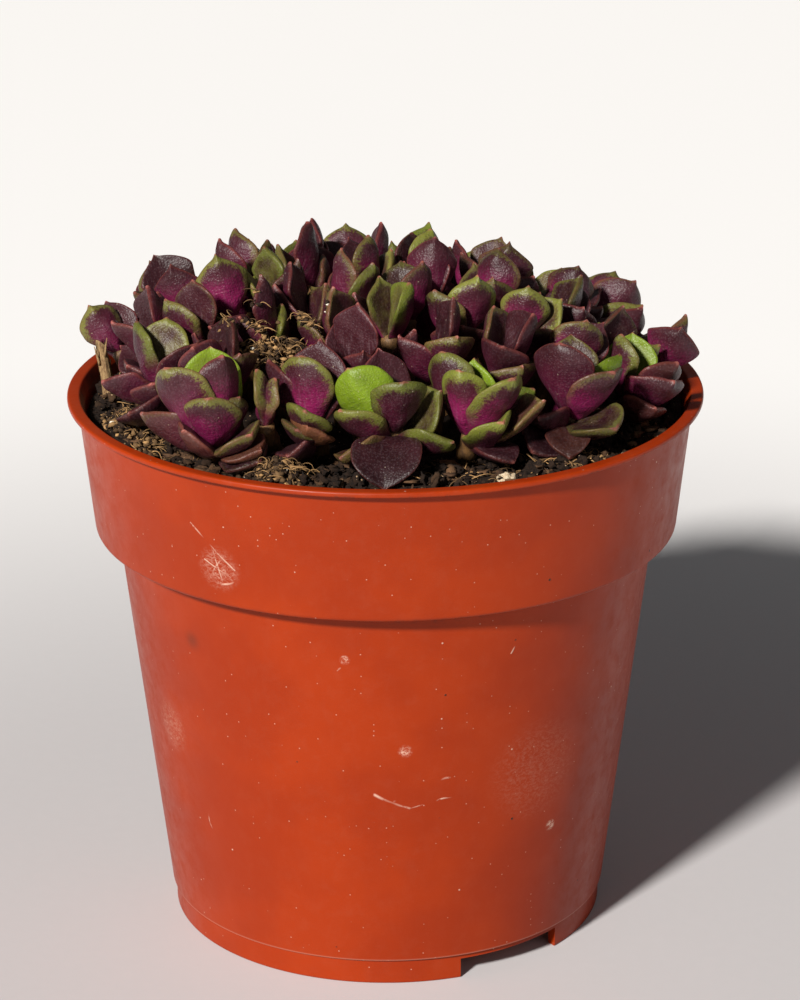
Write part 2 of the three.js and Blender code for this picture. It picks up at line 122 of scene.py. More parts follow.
PLAIN = {
    "leaves": 9,
    "inner_leaves": 6,
    "inner_radius": 24,
    "front_from": 6,
    "length": 8.4,
    "longer": 2.2,
    "length_share": (0.92, 1.08),
    "width_share": (0.76, 0.9),
    "roll": 26,
    "point": (0.35, 1),
    "bend": (0.1, 0.4),
    "fold": (0.15, 0.45),
    "astray": 8,
    "rise": 76,
    "lower": 46,
    "rise_astray": 9,
    "drop": 7,
    "least_height": 2.5,
    "shoot_tone": 0.4,
    "tone": (-0.25, 0.35),
    "green": 0.85,
    "dull_flush": 0.2,
    "bright_flush": 0.75,
    "flush_turns": (7.1, 3.3),
    "bright_above": 0.1,
}
FRONT = {"bend": (0.1, 0.35), "fold": (0.15, 0.4), "low_rise": 40, "low_drop": 1.5}
SLENDER = {"shoot_b"}
BALL = {
    "along": (0.14, 0.3, 0.46, 0.62, 0.78, 0.94),
    "across": (-0.84, -0.42, 0, 0.42, 0.84),
    "radius": 1.05,
    "smaller": 0.6,
    "free_from": 0.45,
    "pressed": 0.72,
    "pressed_front": 0.35,
    "look_around": 4,
}
# Where a leaf has no room it turns, rises, or stays smaller.
TRIES = (
    (0, 0, 1),
    (0, 7, 1),
    (0, -7, 1),
    (10, 0, 1),
    (-10, 0, 1),
    (0, 14, 0.95),
    (0, -14, 0.95),
    (20, 5, 0.92),
    (-20, 5, 0.92),
    (20, -10, 0.92),
    (-20, -10, 0.92),
    (35, 0, 0.85),
    (-35, 0, 0.85),
    (0, 22, 0.85),
    (0, 5, 0.75),
    (30, 12, 0.75),
    (-30, 12, 0.75),
)
DRY_STALK = {
    "foot": (-36, 1, 64),
    "top": (-38.2, 2.5, 80),
    "foot_radius": 1.2,
    "top_radius": 0.6,
    "ball_shares": (0.4, 0.5, 0.6, 0.7, 0.8, 0.9, 1),
}
CHIPS = {
    "perlite_a": ((15.5, -31.5), (1.5, 1.0, 1.1), 20),
    "perlite_b": ((31, -21), (1.0, 0.8, 0.8), 70),
    "perlite_c": ((-6.5, -34), (1.1, 0.8, 0.7), 130),
}
CHIP_RISE = 0.4

# The front shoots: the crown, then for each leaf its direction and rise in degrees, length, width,
# roll, how pointed it is, how green it is, its bend (None draws one), how magenta, and how dry.
FRONT_SHOOTS = {
    "shoot_b": (
        (-15.2, -26, 77),
        (
            (-60, 86, 7.5, 5.5, 60, 0.1, 0.35, None, 0.35, 0),
            (120, 86, 7.0, 5.0, 60, 0.1, 0.3, None, 0.2, 0),
        ),
    ),
    "shoot_a": (
        (-21.5, -27, 75),
        (
            (-147, 52, 12.5, 8.5, 30, 0.1, 0.35, None, 0.45, 0),
            (-50, 70, 12.0, 8.0, 0, 0.3, 0.15, None, 1, 0),
            (100, 66, 12.0, 8.0, 0, 0.2, 0.8, None, 0.2, 0),
            (-25, 55, 9.5, 7.5, -30, 0.2, 0.3, None, 0.95, 0),
            (-95, 50, 9.0, 7.5, 0, 0.1, 0.35, None, 0.9, 0),
            (-58, 28, 9.0, 7.5, 22, 0.2, 0.3, None, 0.6, 0),
            (185, 32, 10.5, 8.5, 40, 0.8, 0.2, None, 0, 0.1),
            (-128, 14, 9.0, 7.0, -25, 0.4, 0.1, None, 0, 0.2),
            (-85, 3, 9.5, 8.0, 20, 0.2, 0.2, None, 0.7, 0),
            (-40, 14, 8.5, 6.5, 20, 0.5, 0.1, None, 0.2, 0.3),
        ),
    ),
    "shoot_d": (
        (1, -26, 76.5),
        (
            (-160, 55, 10.0, 7.8, 60, 0.1, 1.0, None, 0, 0),
            (-140, 28, 9.5, 7.0, 20, 0.3, 0.45, None, 0.2, 0),
            (-75, 52, 9.5, 7.5, 0, 0.1, 0.5, None, 0, 0),
            (-95, 14, 12.0, 9.0, 0, 0.2, 0.15, -1.2, 0, 0),
            (-45, 4, 9.5, 7.0, -35, 0.5, 0.5, None, 0, 0),
            (120, 62, 10.0, 7.5, 0, 0.5, 0.1, None, 0.2, 0),
            (-130, -5, 9.0, 7.0, 30, 0.3, 0.3, None, 0.5, 0.2),
        ),
    ),
    "shoot_c": (
        (-9, -24, 76),
        (
            (-140, 63, 10.5, 8.0, 25, 0.0, 0.4, None, 0.8, 0),
            (-100, 40, 10.0, 7.0, -25, 0.4, 0.45, None, 0.1, 0),
            (-142, 20, 10.0, 8.0, -15, 0.3, 0.3, None, 0.3, 0),
            (70, 70, 11.0, 9.0, 0, 0.8, 0.0, None, 0.1, 0),
            (158, 60, 10.5, 7.0, 30, 0.6, 0.05, None, 0.2, 0),
            (-78, 18, 10.0, 7.0, -25, 0.3, 0.1, None, 0, 0.6),
            (-110, 0, 8.5, 7.0, 30, 0.5, 0.15, None, 0.2, 0),
        ),
    ),
    "shoot_e": (
        (11, -24, 75),
        (
            (-168, 66, 11.5, 7.5, 40, 0.0, 0.45, None, 0.3, 0),
            (-113, 62, 10.5, 6.5, 0, 0.1, 0.5, None, 0.85, 0),
            (75, 74, 9.5, 7.0, 0, 0.6, 0.9, None, 0, 0),
            (-52, 45, 12.5, 7.5, 0, 0.0, 0.45, None, 0.9, 0),
            (0, 38, 10.5, 8.0, -35, 0.3, 0.6, None, 0.6, 0),
            (-62, 26, 10.5, 7.0, 15, 0.1, 0.5, None, 0.3, 0),
            (-80, 5, 11.0, 7.5, 0, 0.3, 0.1, -0.6, 0.2, 0),
            (-20, 22, 12.0, 7.5, 25, 0.8, 0.3, None, 0, 0.15),
        ),
    ),
    "shoot_f": (
        (24, -19, 76),
        (
            (-119, 65, 11.0, 8.5, 0, 0.0, 0.15, None, 0.15, 0),
            (-49, 42, 10.5, 8.5, 0, 0.1, 0.25, None, 1, 0),
            (-55, 10, 10.5, 7.5, 18, 0.0, 0.35, None, 0.1, 0),
            (-90, 4, 9.5, 6.0, 0, 0.3, 0.05, -0.6, 0.1, 0.1),
            (10, 44, 9.5, 7.5, -40, 0.5, 0.9, None, 0, 0),
            (90, 62, 10.0, 7.0, 0, 0.4, 0.3, None, 0.1, 0),
            (-140, 30, 8.0, 6.5, 25, 0.5, 0.1, None, 0.2, 0),
            (-120, 0, 9.0, 7.0, -25, 0.4, 0.1, None, 0.1, 0),
        ),
    ),
    "shoot_g": (
        (32, -10, 75),
        (
            (-27, 40, 8.5, 7.0, -30, 0.4, 0.05, None, 0, 0.1),
            (0, 20, 8.0, 7.0, -30, 0.4, 0.1, None, 0, 0),
            (-65, 12, 8.0, 6.5, -25, 0.4, 0.1, None, 0, 0.1),
            (80, 65, 8.5, 7.0, 0, 0.3, 0.8, None, 0, 0),
            (-160, 66, 9.0, 6.5, 0, 0.1, 0.4, None, 0.5, 0),
        ),
    ),
    "shoot_i": (
        (-29, -14, 78),
        (
            (-40, 46, 9.5, 8.0, 0, 0.0, 0.05, None, 0.2, 0),
            (-97, 24, 8.0, 7.0, 25, 0.2, 0.15, None, 0, 0),
            (144, 60, 9.0, 7.0, 40, 0.3, 0.5, None, 0.2, 0),
            (-162, 18, 8.5, 7.0, 30, 0.3, 0.1, None, 0, 0),
            (80, 60, 9.0, 7.0, 0, 0.3, 0.4, None, 0, 0),
        ),
    ),
}


# ---------------------------------------------------------------- where the leaves grow


class Draws:
    """Park and Miller's generator, which places the leaves as the solids have them."""

    factor = 16807
    modulus = 2147483647

    def __init__(self, seed):
        self.seed = seed

    def __call__(self, low, high):
        self.seed = self.seed * self.factor % self.modulus
        return low + (high - low) * self.seed / self.modulus


class Leaf:
    """A leaf that grows from foot along its axis. Its upper face looks along up."""

    def __init__(self, foot, axis, up, size, look):
        side = np.cross(axis, up)
        side = rotated(side, axis, size["roll"])
        self.foot = foot
        self.axis = axis
        self.side = side
        self.up = np.cross(side, axis)
        self.length = size["length"]
        self.width = size["width"]
        self.point = size["point"]
        self.bend = size["bend"]
        self.fold = size["fold"]
        self.green, self.flush, self.dry = look

    def outline(self, along):
        """Half the width at each share of the length, as a share of its most."""
        foot, widest = LEAF["foot_width"], LEAF["widest_at"]
        near = np.clip(along / widest, 0, 1)
        near = foot + (1 - foot) * np.sin(np.pi / 2 * near) ** LEAF["taper"]
        end = np.clip((along - widest) / (1 - widest), 0, 1)
        shoulder = LEAF["shoulder"][0] + LEAF["shoulder"][1] * self.point
        power = LEAF["power"][0] + LEAF["power"][1] * self.point
        return np.where(along < widest, near, np.maximum(0, 1 - end**shoulder) ** power)

    def place(self, along, across, rise, ahead=0.0):
        """Points of the leaf. across runs from -1 to 1, and rise is measured from its middle."""
        angle = self.bend * along
        half = self.width / 2 * self.outline(along)
        forward = self.length * np.sin(angle) / self.bend
        lift = self.length * (1 - np.cos(angle)) / self.bend
        above = rise + self.fold * half * np.abs(across) ** LEAF["fold_power"]
        forward = forward - above * np.sin(angle) + ahead * np.cos(angle)
        lift = lift + above * np.cos(angle) + ahead * np.sin(angle)
        steps = (forward, lift, across * half)
        ways = (self.axis, self.up, self.side)
        return self.foot + sum(step[..., None] * way for step, way in zip(steps, ways))

    def balls(self):
        """(places, radii, whether each is clear of the foot)"""
        along, across = np.meshgrid(BALL["along"], BALL["across"], indexing="ij")
        along, across = along.ravel(), across.ravel()
        radii = BALL["radius"] - BALL["smaller"] * np.abs(across)
        return self.place(along, across, np.zeros_like(along)), radii, along > BALL["free_from"]


def rotated(vector, axis, angle):
    turned = vector * math.cos(angle) + np.cross(axis, vector) * math.sin(angle)
    return turned + axis * np.dot(axis, vector) * (1 - math.cos(angle))


def unit(vector):
    return vector / np.linalg.norm(vector)


def soil_height(x, y):
    wide, deep, cross = SOIL["waves"]
    waves = np.sin(x / wide + 1) * np.cos(y / deep) + SOIL["cross_wave"] * np.sin((x + y) / cross)
    height = SOIL["level"] + SOIL["ripple"] * waves
    for heap_x, heap_y, rise, width in HEAPS:
        height = height + rise * np.exp(-((x - heap_x) ** 2 + (y - heap_y) ** 2) / width**2)
    return height


def mound_top(x, y):
    out = math.hypot(x - MOUND["x"], y - MOUND["y"]) / MOUND["radius"]
    rise = MOUND["height"] - MOUND["rim_height"]
    return MOUND["rim_height"] + rise * (1 - min(1, out) ** MOUND["power"])


class Room:
    """The space that is taken, as balls."""

    def __init__(self):
        self.places = np.zeros((0, 3))
        self.radii = np.zeros(0)
        self.free = np.zeros(0, bool)
        self.shoots = np.zeros(0, int)

    def take(self, places, radii, free, shoot):
        self.places = np.concatenate([self.places, places])
        self.radii = np.concatenate([self.radii, radii])
        self.free = np.concatenate([self.free, free])
        self.shoots = np.concatenate([self.shoots, np.full(len(radii), shoot)])

    def is_clear(self, places, radii, free, shoot, pressed):
        out = np.hypot(places[:, 0], places[:, 1]) + radii
        low = places[:, 2] - radii
        if (out > REACH["radius"]).any():
            return False
        if ((out > REACH["inside_rim"]) & (low < POT["height"] + GAP)).any():
            return False
        if (low <= soil_height(places[:, 0], places[:, 1]) + GAP).any():
            return False
        middle = places.mean(axis=0)
        spread = np.linalg.norm(places - middle, axis=1).max() + BALL["look_around"]
        near = np.linalg.norm(self.places - middle, axis=1) < spread
        others = self.places[near]
        away = np.linalg.norm(places[:, None] - others[None], axis=2)
        reach = radii[:, None] + self.radii[near][None]
        same = (self.shoots[near] == shoot)[None]
        both_free = free[:, None] & self.free[near][None]
        apart = np.where(same, ~both_free | (away > reach * pressed), away > reach + GAP)
        return bool(apart.all())


class Shoot:
    def __init__(self, number, crown):
        self.number = number
        self.crown = np.array(crown, float)
        share = STEM["foot_share"]
        depth = SOIL["level"] - STEM["foot_depth"]
        self.foot = np.array([crown[0] * share, crown[1] * share, depth])
        self.axis = unit(self.crown - self.foot)
        self.leaves = []

    def aim(self, axis, turn, rise, drop, size, look):
        east = np.array([1.0, 0, 0]) - axis * axis[0]
        east = unit(east)
        north = np.cross(axis, east)
        turn, rise = math.radians(turn), math.radians(rise)
        out = east * math.cos(turn) + north * math.sin(turn)
        along = axis * math.sin(rise) + out * math.cos(rise)
        up = axis * math.cos(rise) - out * math.sin(rise)
        foot = self.crown - self.axis * drop + along * LEAF["foot_out"]
        return Leaf(foot, along, up, size, look)

    def grow(self, room, axis, turn, rise, drop, pressed, size, look):
        for turn_by, rise_by, share in TRIES:
            smaller = {**size, "length": size["length"] * share, "width": size["width"] * share}
            leaf = self.aim(axis, turn + turn_by, rise + rise_by, drop, smaller, look)
            balls = leaf.balls()
            if room.is_clear(*balls, self.number, pressed):
                self.leaves.append(leaf)
                room.take(*balls, self.number)
                return


def place_shoots(draw, room):
    foot, top = np.array(DRY_STALK["foot"]), np.array(DRY_STALK["top"])
    shares = np.array(DRY_STALK["ball_shares"])
    places = foot + (top - foot) * shares[:, None]
    radii = np.full(len(shares), DRY_STALK["foot_radius"])
    room.take(places, radii, np.zeros(len(shares), bool), -1)
    shoots = {name: Shoot(i, crown) for i, (name, (crown, _)) in enumerate(FRONT_SHOOTS.items())}
    front = [shoot.crown for shoot in shoots.values()]
    for k in range(SPIRAL["count"]):
        out = SPIRAL["spread"] * math.sqrt(k + 0.5)
        angle = math.radians(k * GOLDEN_ANGLE)
        x = out * math.cos(angle) + draw(-SPIRAL["astray"], SPIRAL["astray"])
        y = out * math.sin(angle) + draw(-SPIRAL["astray"], SPIRAL["astray"])
        crowded = any(math.hypot(c[0] - x, c[1] - y) < SPIRAL["room"] for c in front)
        if crowded or math.hypot(x, y) >= SPIRAL["edge"] or y <= SPIRAL["front"]:
            continue
        z = max(mound_top(x, y) - SPIRAL["below_mound"], SOIL["level"] + SPIRAL["above_soil"])
        shoots[f"shoot_{k + 1}"] = Shoot(len(shoots), (x, y, z))
    for shoot in shoots.values():
        length = np.linalg.norm(shoot.crown - shoot.foot)
        at = np.arange(STEM["foot_depth"], length, STEM["balls_apart"])
        places = shoot.foot + shoot.axis * at[:, None]
        radii = np.full(len(at), float(STEM["foot_radius"]))
        room.take(places, radii, np.zeros(len(at), bool), shoot.number)
    return shoots


def grow_shoots():
    """The shoots by name, with each leaf where its solid is."""
    draw, room = Draws(SEED), Room()
    shoots = place_shoots(draw, room)
    upright = np.array([0, 0, 1.0])
    for name, (_, rows) in FRONT_SHOOTS.items():
        for turn, rise, length, width, roll, point, green, bend, flush, dry in rows:
            size = {"length": length, "width": width, "roll": math.radians(roll), "point": point}
            size["bend"] = draw(*FRONT["bend"]) if bend is None else bend
            size["fold"] = draw(*FRONT["fold"])
            drop = FRONT["low_drop"] if rise < FRONT["low_rise"] else 0
            look = (green, flush, dry)
            pressed = BALL["pressed_front"]
            shoots[name].grow(room, upright, turn, rise, drop, pressed, size, look)
    tones = {name: (draw(0, 360), draw(0, PLAIN["shoot_tone"])) for name in shoots}
    for i in range(PLAIN["leaves"]):
        for name, shoot in shoots.items():
            if name in SLENDER or (name in FRONT_SHOOTS and i < PLAIN["front_from"]):
                continue
            inside = math.hypot(shoot.crown[0], shoot.crown[1]) < PLAIN["inner_radius"]
            if inside and i >= PLAIN["inner_leaves"]:
                continue
            outer = i / (PLAIN["leaves"] - 1)
            length = (PLAIN["length"] + PLAIN["longer"] * outer) * draw(*PLAIN["length_share"])
            size = {"length": length, "width": length * draw(*PLAIN["width_share"])}
            size["roll"] = math.radians(draw(-PLAIN["roll"], PLAIN["roll"]))
            size["point"] = draw(*PLAIN["point"])
            size["bend"] = draw(*PLAIN["bend"])
            size["fold"] = draw(*PLAIN["fold"])
            first, tone = tones[name]
            turn = first + i * GOLDEN_ANGLE + draw(-PLAIN["astray"], PLAIN["astray"])
            rise = PLAIN["rise"] - PLAIN["lower"] * outer
            rise += draw(-PLAIN["rise_astray"], PLAIN["rise_astray"])
            least = shoot.crown[2] - SOIL["level"] - PLAIN["least_height"]
            drop = outer * min(PLAIN["drop"], least)
            green = PLAIN["green"] * (tone + draw(*PLAIN["tone"]))
            by_leaf, by_shoot = PLAIN["flush_turns"]
            bright = math.sin(by_leaf * i + by_shoot * shoot.number) > PLAIN["bright_above"]
            flush = PLAIN["bright_flush"] if bright else PLAIN["dull_flush"]
            look = (green, flush, 0)
            shoot.grow(room, shoot.axis, turn, rise, drop, BALL["pressed"], size, look)
    least = STEM["least_leaves"]
    return {name: shoot for name, shoot in shoots.items() if len(shoot.leaves) >= least}


SHOOTS = grow_shoots()


# ---------------------------------------------------------------- meshes


class Heap:
    """Points and faces of one piece, gathered part by part, with a value per point for each mark."""

    def __init__(self, *marks):
        self.points = []
        self.faces = []
        self.materials = []
        self.marks = {mark: [] for mark in marks}
        self.count = 0

    def add(self, points, faces, material=0, **marks):
        self.points.append(points)
        self.faces.extend([i + self.count for i in face] for face in faces)
        self.materials.extend([material] * len(faces))
        for mark, values in self.marks.items():
            given = marks.get(mark, (0, 0, 0))
            values.append(np.broadcast_to(np.asarray(given, float), (len(points), 3)))
        self.count += len(points)

    def piece(self, name, materials):
        mesh = bpy.data.meshes.new(name)
        points = np.concatenate(self.points) * MM
        mesh.from_pydata(points.tolist(), [], self.faces)
        mesh.polygons.foreach_set("use_smooth", np.ones(len(self.faces), bool))
        mesh.polygons.foreach_set("material_index", self.materials)
        for mark, values in self.marks.items():
            attribute = mesh.attributes.new(mark, "FLOAT_VECTOR", "POINT")
            attribute.data.foreach_set("vector", np.concatenate(values).ravel())
        for material in materials:
            mesh.materials.append(material)
        mesh.update()
        piece = bpy.data.objects.new(name, mesh)
        bpy.context.scene.collection.objects.link(piece)
        return piece


def tube_faces(rings, around, cap_foot=True, cap_top=True):
    """Faces of rings of points, the first ring at the foot."""
    faces = []
    for ring in range(rings - 1):
        for i in range(around):
            here, after = ring * around + i, ring * around + (i + 1) % around
            faces.append([here, after, after + around, here + around])
    if cap_foot:
        faces.append(list(range(around))[::-1])
    if cap_top:
        faces.append([(rings - 1) * around + i for i in range(around)])
    return faces


def tube(path, radii, around=8):
    """Points of a round tube along a path of points."""
    path = np.asarray(path, float)
    radii = np.broadcast_to(np.asarray(radii, float), len(path))
    ways = np.gradient(path, axis=0)
    ways /= np.linalg.norm(ways, axis=1)[:, None]
    aside = np.cross(ways, (0.31, 0.17, 0.93))
    aside /= np.linalg.norm(aside, axis=1)[:, None]
    other = np.cross(ways, aside)
    angles = np.linspace(0, 2 * np.pi, around, endpoint=False)[None, :, None]
    ring = np.cos(angles) * aside[:, None] + np.sin(angles) * other[:, None]
    return (path[:, None] + ring * radii[:, None, None]).reshape(-1, 3)


def stone_shape(detail):
    """Points and faces of a ball of triangles, of radius 1."""
    shape = bmesh.new()
    bmesh.ops.create_icosphere(shape, subdivisions=detail, radius=1)
    points = np.array([corner.co[:] for corner in shape.verts])
    faces = [[corner.index for corner in face.verts] for face in shape.faces]
    shape.free()
    return points, faces


def lumpy(points, seed, amount, scale):
    """The points of a ball, pushed in and out by noise."""
    pushed = [noise.noise(Vector(p) * scale + Vector((seed, 2 * seed, 3 * seed))) for p in points]
    return points * (1 + amount * np.array(pushed))[:, None]


def turned(points, chance, least_tilt=0, most_tilt=FULL_TURN):
    """The points at a random turn, and tilted by an angle between these."""
    turn = Matrix.Rotation(chance.uniform(0, FULL_TURN), 3, "Z")
    tilt = Matrix.Rotation(chance.uniform(least_tilt, most_tilt), 3, "X")
    return points @ np.array(turn @ tilt)


def finished(piece):
    """A new piece, which takes the place of no solid."""
    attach(piece, "root")


# ---------------------------------------------------------------- shader nodes

VECTOR, NUMBER, COLOUR = "NodeSocketVector", "NodeSocketFloat", "NodeSocketColor"
PLAIN_NUMBERS = ("DISTANCE", "LENGTH", "DOT_PRODUCT")


class Wire:
    """What comes out of a shader node. Arithmetic with it adds math nodes to its tree."""

    def __init__(self, socket):
        self.socket = socket
        self.tree = socket.id_data

    def __add__(self, other):
        return arithmetic("ADD", self, other)

    def __sub__(self, other):
        return arithmetic("SUBTRACT", self, other)

    def __mul__(self, other):
        return arithmetic("MULTIPLY", self, other)

    def __truediv__(self, other):
        return arithmetic("DIVIDE", self, other)

    def __rtruediv__(self, other):
        return arithmetic("DIVIDE", other, self)


def add(tree, kind, inputs=(), **settings):
    """A new node. Its inputs are fed in order, or by name where they come as a dict."""
    made = tree.nodes.new(kind)
    for name, value in settings.items():
        setattr(made, name, value)
    for key, value in inputs.items() if isinstance(inputs, dict) else enumerate(inputs):
        feed(made.inputs[key], value)
    return made


def feed(socket, value):
    """Links a wire to an input, or sets the input. A colour comes without its alpha."""
    if isinstance(value, Wire):
        socket.id_data.links.new(value.socket, socket)
    elif value is not None:
        socket.default_value = (*value, 1) if socket.type == "RGBA" else value


def arithmetic(operation, a, b=None, clamp=False):
    tree = (a if isinstance(a, Wire) else b).tree
    made = add(tree, "ShaderNodeMath", (a, b), operation=operation, use_clamp=clamp)
    return Wire(made.outputs[0])


def larger(a, b, clamp=False):
    return arithmetic("MAXIMUM", a, b, clamp)


def fading(value, reach):
    """1 where value is 0, and nothing where it is reach or more."""
    return arithmetic("SUBTRACT", 1.0, value / reach, clamp=True)


def between(value, low, high, start=0.0, end=1.0):
    """start below low, end above high, and smooth between."""
    inputs = (value, low, high, start, end)
    made = add(value.tree, "ShaderNodeMapRange", inputs, interpolation_type="SMOOTHSTEP")
    return Wire(made.outputs[0])


def blend(share, a, b):
    """Colour a, and b where share is 1."""
    made = add(share.tree, "ShaderNodeMix", {"Factor": share, 6: a, 7: b}, data_type="RGBA")
    return Wire(made.outputs[2])


def vectors(operation, a, b=None):
    """Vector math. Distances, lengths and dot products are plain numbers."""
    made = add(a.tree, "ShaderNodeVectorMath", (a, b), operation=operation)
    return Wire(made.outputs["Value" if operation in PLAIN_NUMBERS else "Vector"])


def scaled(vector, scale):
    inputs = {0: vector, "Scale": scale}
    return Wire(add(vector.tree, "ShaderNodeVectorMath", inputs, operation="SCALE").outputs[0])


def parts_of(vector, kind="ShaderNodeSeparateXYZ"):
    return [Wire(socket) for socket in add(vector.tree, kind, (vector,)).outputs]


def combined(*parts):
    return Wire(add(parts[0].tree, "ShaderNodeCombineXYZ", parts).outputs[0])


def cloud(place, scale, detail=2.0, roughness=0.5, distortion=0.0, out="Fac"):
    """Soft noise, about 0.5 on average."""
    inputs = {"Vector": place, "Scale": scale, "Detail": detail, "Roughness": roughness}
    made = add(place.tree, "ShaderNodeTexNoise", {**inputs, "Distortion": distortion})
    return Wire(made.outputs[out])


def patches(place, noise_way, change):
    """Soft patches: noise (scale, detail, roughness, distortion), taken between two of its values."""
    return between(cloud(place, *noise_way), *change)


def mark(tree, name):
    return Wire(add(tree, "ShaderNodeAttribute", attribute_name=name).outputs["Vector"])


def place_in_mm(tree):
    """The place on the piece, in millimetres."""
    own = Wire(add(tree, "ShaderNodeTexCoord").outputs["Object"])
    return vectors("MULTIPLY", own, (1 / MM,) * 3)


def effect(name, inputs, outputs):
    """A node group with (name, kind, default) inputs. Returns it, its inputs and its way out."""
    group = bpy.data.node_groups.new(name, "ShaderNodeTree")
    for socket, kind, default in inputs:
        made = group.interface.new_socket(name=socket, in_out="INPUT", socket_type=kind)
        if default is not None:
            made.default_value = default
    for socket, kind in outputs:
        group.interface.new_socket(name=socket, in_out="OUTPUT", socket_type=kind)
    given = [Wire(socket) for socket in add(group, "NodeGroupInput").outputs[: len(inputs)]]
    return group, given, add(group, "NodeGroupOutput").inputs


def use(name, place, **values):
    """Puts a node group into the tree of place, and returns what comes out of it, by name."""
    group = bpy.data.node_groups.get(name) or EFFECTS[name]()
    inputs = {"Place": place, **{key.capitalize(): value for key, value in values.items()}}
    made = add(place.tree, "ShaderNodeGroup", inputs, node_tree=group)
    return {socket.name: Wire(socket) for socket in made.outputs}


# What the shared effects are made of. Noise is (scale, detail, roughness).
SPECK_SOFTNESS = 0.6
GRAIN = {
    "coarse": (4.0, 0.65),
    "fine": (3.0, 0.6),
    "finer": 4.3,
    "coarse_share": 0.55,
    "dark_to_light": (0.36, 0.66),
}
STROKE = {
    "bends": (0.22, 1.5),
    "bend_size": 8.0,
    "gaps": ((1.3, 3.0, 0.7), (0.34, 0.5)),
}


def specks_effect():
    """Small spots scattered over a surface: Share of the cells have one, Size wide."""
    sockets = [
        ("Place", VECTOR, None),
        ("Cell", NUMBER, 1.0),
        ("Size", NUMBER, 0.2),
        ("Share", NUMBER, 0.3),
    ]
    group, (place, cell, size, share), wanted = effect("Specks", sockets, [("Mask", NUMBER)])
    inputs = {"Vector": place, "Scale": 1.0 / cell}
    cells = add(group, "ShaderNodeTexVoronoi", inputs, feature="F1")
    near = fading(Wire(cells.outputs["Distance"]) * cell, size)
    lot = parts_of(Wire(cells.outputs["Color"]), "ShaderNodeSeparateColor")[0]
    has_one = arithmetic("LESS_THAN", lot, share)
    feed(wanted["Mask"], between(near, 0.0, SPECK_SOFTNESS) * has_one)
    return group


def grain_effect():
    """Mottled colour between two colours, with a height that goes with it."""
    sockets = [
        ("Place", VECTOR, None),
        ("Grain", NUMBER, 1.0),
        ("Dark", COLOUR, (0, 0, 0, 1)),
        ("Light", COLOUR, (1, 1, 1, 1)),
    ]
    outputs = [("Color", COLOUR), ("Height", NUMBER)]
    group, (place, grain, dark, light), wanted = effect("Grain", sockets, outputs)
    per_mm = 1.0 / grain
    coarse = cloud(place, per_mm, *GRAIN["coarse"]) * GRAIN["coarse_share"]
    height = coarse + cloud(place, per_mm * GRAIN["finer"], *GRAIN["fine"]) * (1 - GRAIN["coarse_share"])
    feed(wanted["Color"], blend(between(height, *GRAIN["dark_to_light"]), dark, light))
    feed(wanted["Height"], height)
    return group


def stroke_effect():
    """A scratch between two places, Wide across, that wanders a little."""
    sockets = [
        ("Place", VECTOR, None),
        ("Start", VECTOR, None),
        ("End", VECTOR, None),
        ("Wide", NUMBER, 0.2),
        ("Wander", NUMBER, 1.0),
    ]
    group, (place, start, end, wide, wander), wanted = effect("Stroke", sockets, [("Mask", NUMBER)])
    astray = vectors("SUBTRACT", cloud(place, *STROKE["bends"], out="Color"), (0.5, 0.5, 0.5))
    wandered = vectors("ADD", place, scaled(astray, wander * STROKE["bend_size"]))
    line = vectors("SUBTRACT", end, start)
    from_start = vectors("SUBTRACT", wandered, start)
    lengths = vectors("DOT_PRODUCT", from_start, line), vectors("DOT_PRODUCT", line, line)
    along = arithmetic("DIVIDE", *lengths, clamp=True)
    near = fading(vectors("DISTANCE", from_start, scaled(line, along)), wide)
    feed(wanted["Mask"], near * patches(place, *STROKE["gaps"]))
    return group


EFFECTS = {"Specks": specks_effect, "Grain": grain_effect, "Stroke": stroke_effect}


# ---------------------------------------------------------------- finishes

SPECKS = {
    "leaf_dust": {"cell": 1.1, "size": 0.13, "share": 0.22},
    "husks": {"cell": 0.6, "size": 0.14, "share": 0.2},
    "pale": {"cell": 2.3, "size": 0.17, "share": 0.22},
    "fine": {"cell": 0.8, "size": 0.12, "share": 0.14},
    "dark": {"cell": 4.6, "size": 0.24, "share": 0.2},
}
# The skin of the leaves. Noise is (scale, detail, roughness, distortion). Each of the others is where
# a change starts and ends, and what it goes from and to if that isn't 0 to 1.
SKIN = {
    "mottle": (0.45, 3.0, 0.6),
    "fine": (3.0, 3.0, 0.7),
    "stripes": (1.0, 2.0, 0.6, 0.3),
    "creases": (1.0, 2.5, 0.6, 0.8),
    "pimples_per_mm": 3.1,
    "darker_tip": (0.45, 0.95),
    "magenta_foot": (0.16, 0.62, 1.0, 0.0),
    "olive_upper": (0.1, 0.75),
    "upper_face": (-0.2, 0.35),
    "band": (0.05, 0.75),
    "band_along": (0.22, 0.6),
    "band_by_green": (0.12, 0.4),
    "green_leaf": (0.55, 0.95),
    "green_leaf_along": (0.05, 0.45),
    "lime_by_green": (0.3, 0.9),
    "edge": (0.0, 0.28, 1.0, 0.0),
    "edge_by_green": (0.1, 0.5, 0.7, 0.1),
    "tip": (0.985, 1.0, 0.0, 0.8),
    "pale_stripes": (0.5, 0.75),
    "pale_along": (0.2, 0.75, 0.16, 0.03),
    # Painted shade: leaves lower down the mound are darker.
    "painted_shade_by_height": (72, 81, 0.5, 1.0),
    "pimple": (0.1, 0.6, 1.0, 0.0),
    "husk": (0.2, 0.7, 0.7, 1.0),
    "roughness": (0.2, 0.8, 0.32, 0.5),
    "stripe_relief": (0.3, 0.9, 0.7, 0.4),
    "crease_relief": (0.2, 0.85, 1.3, 0.3),
}
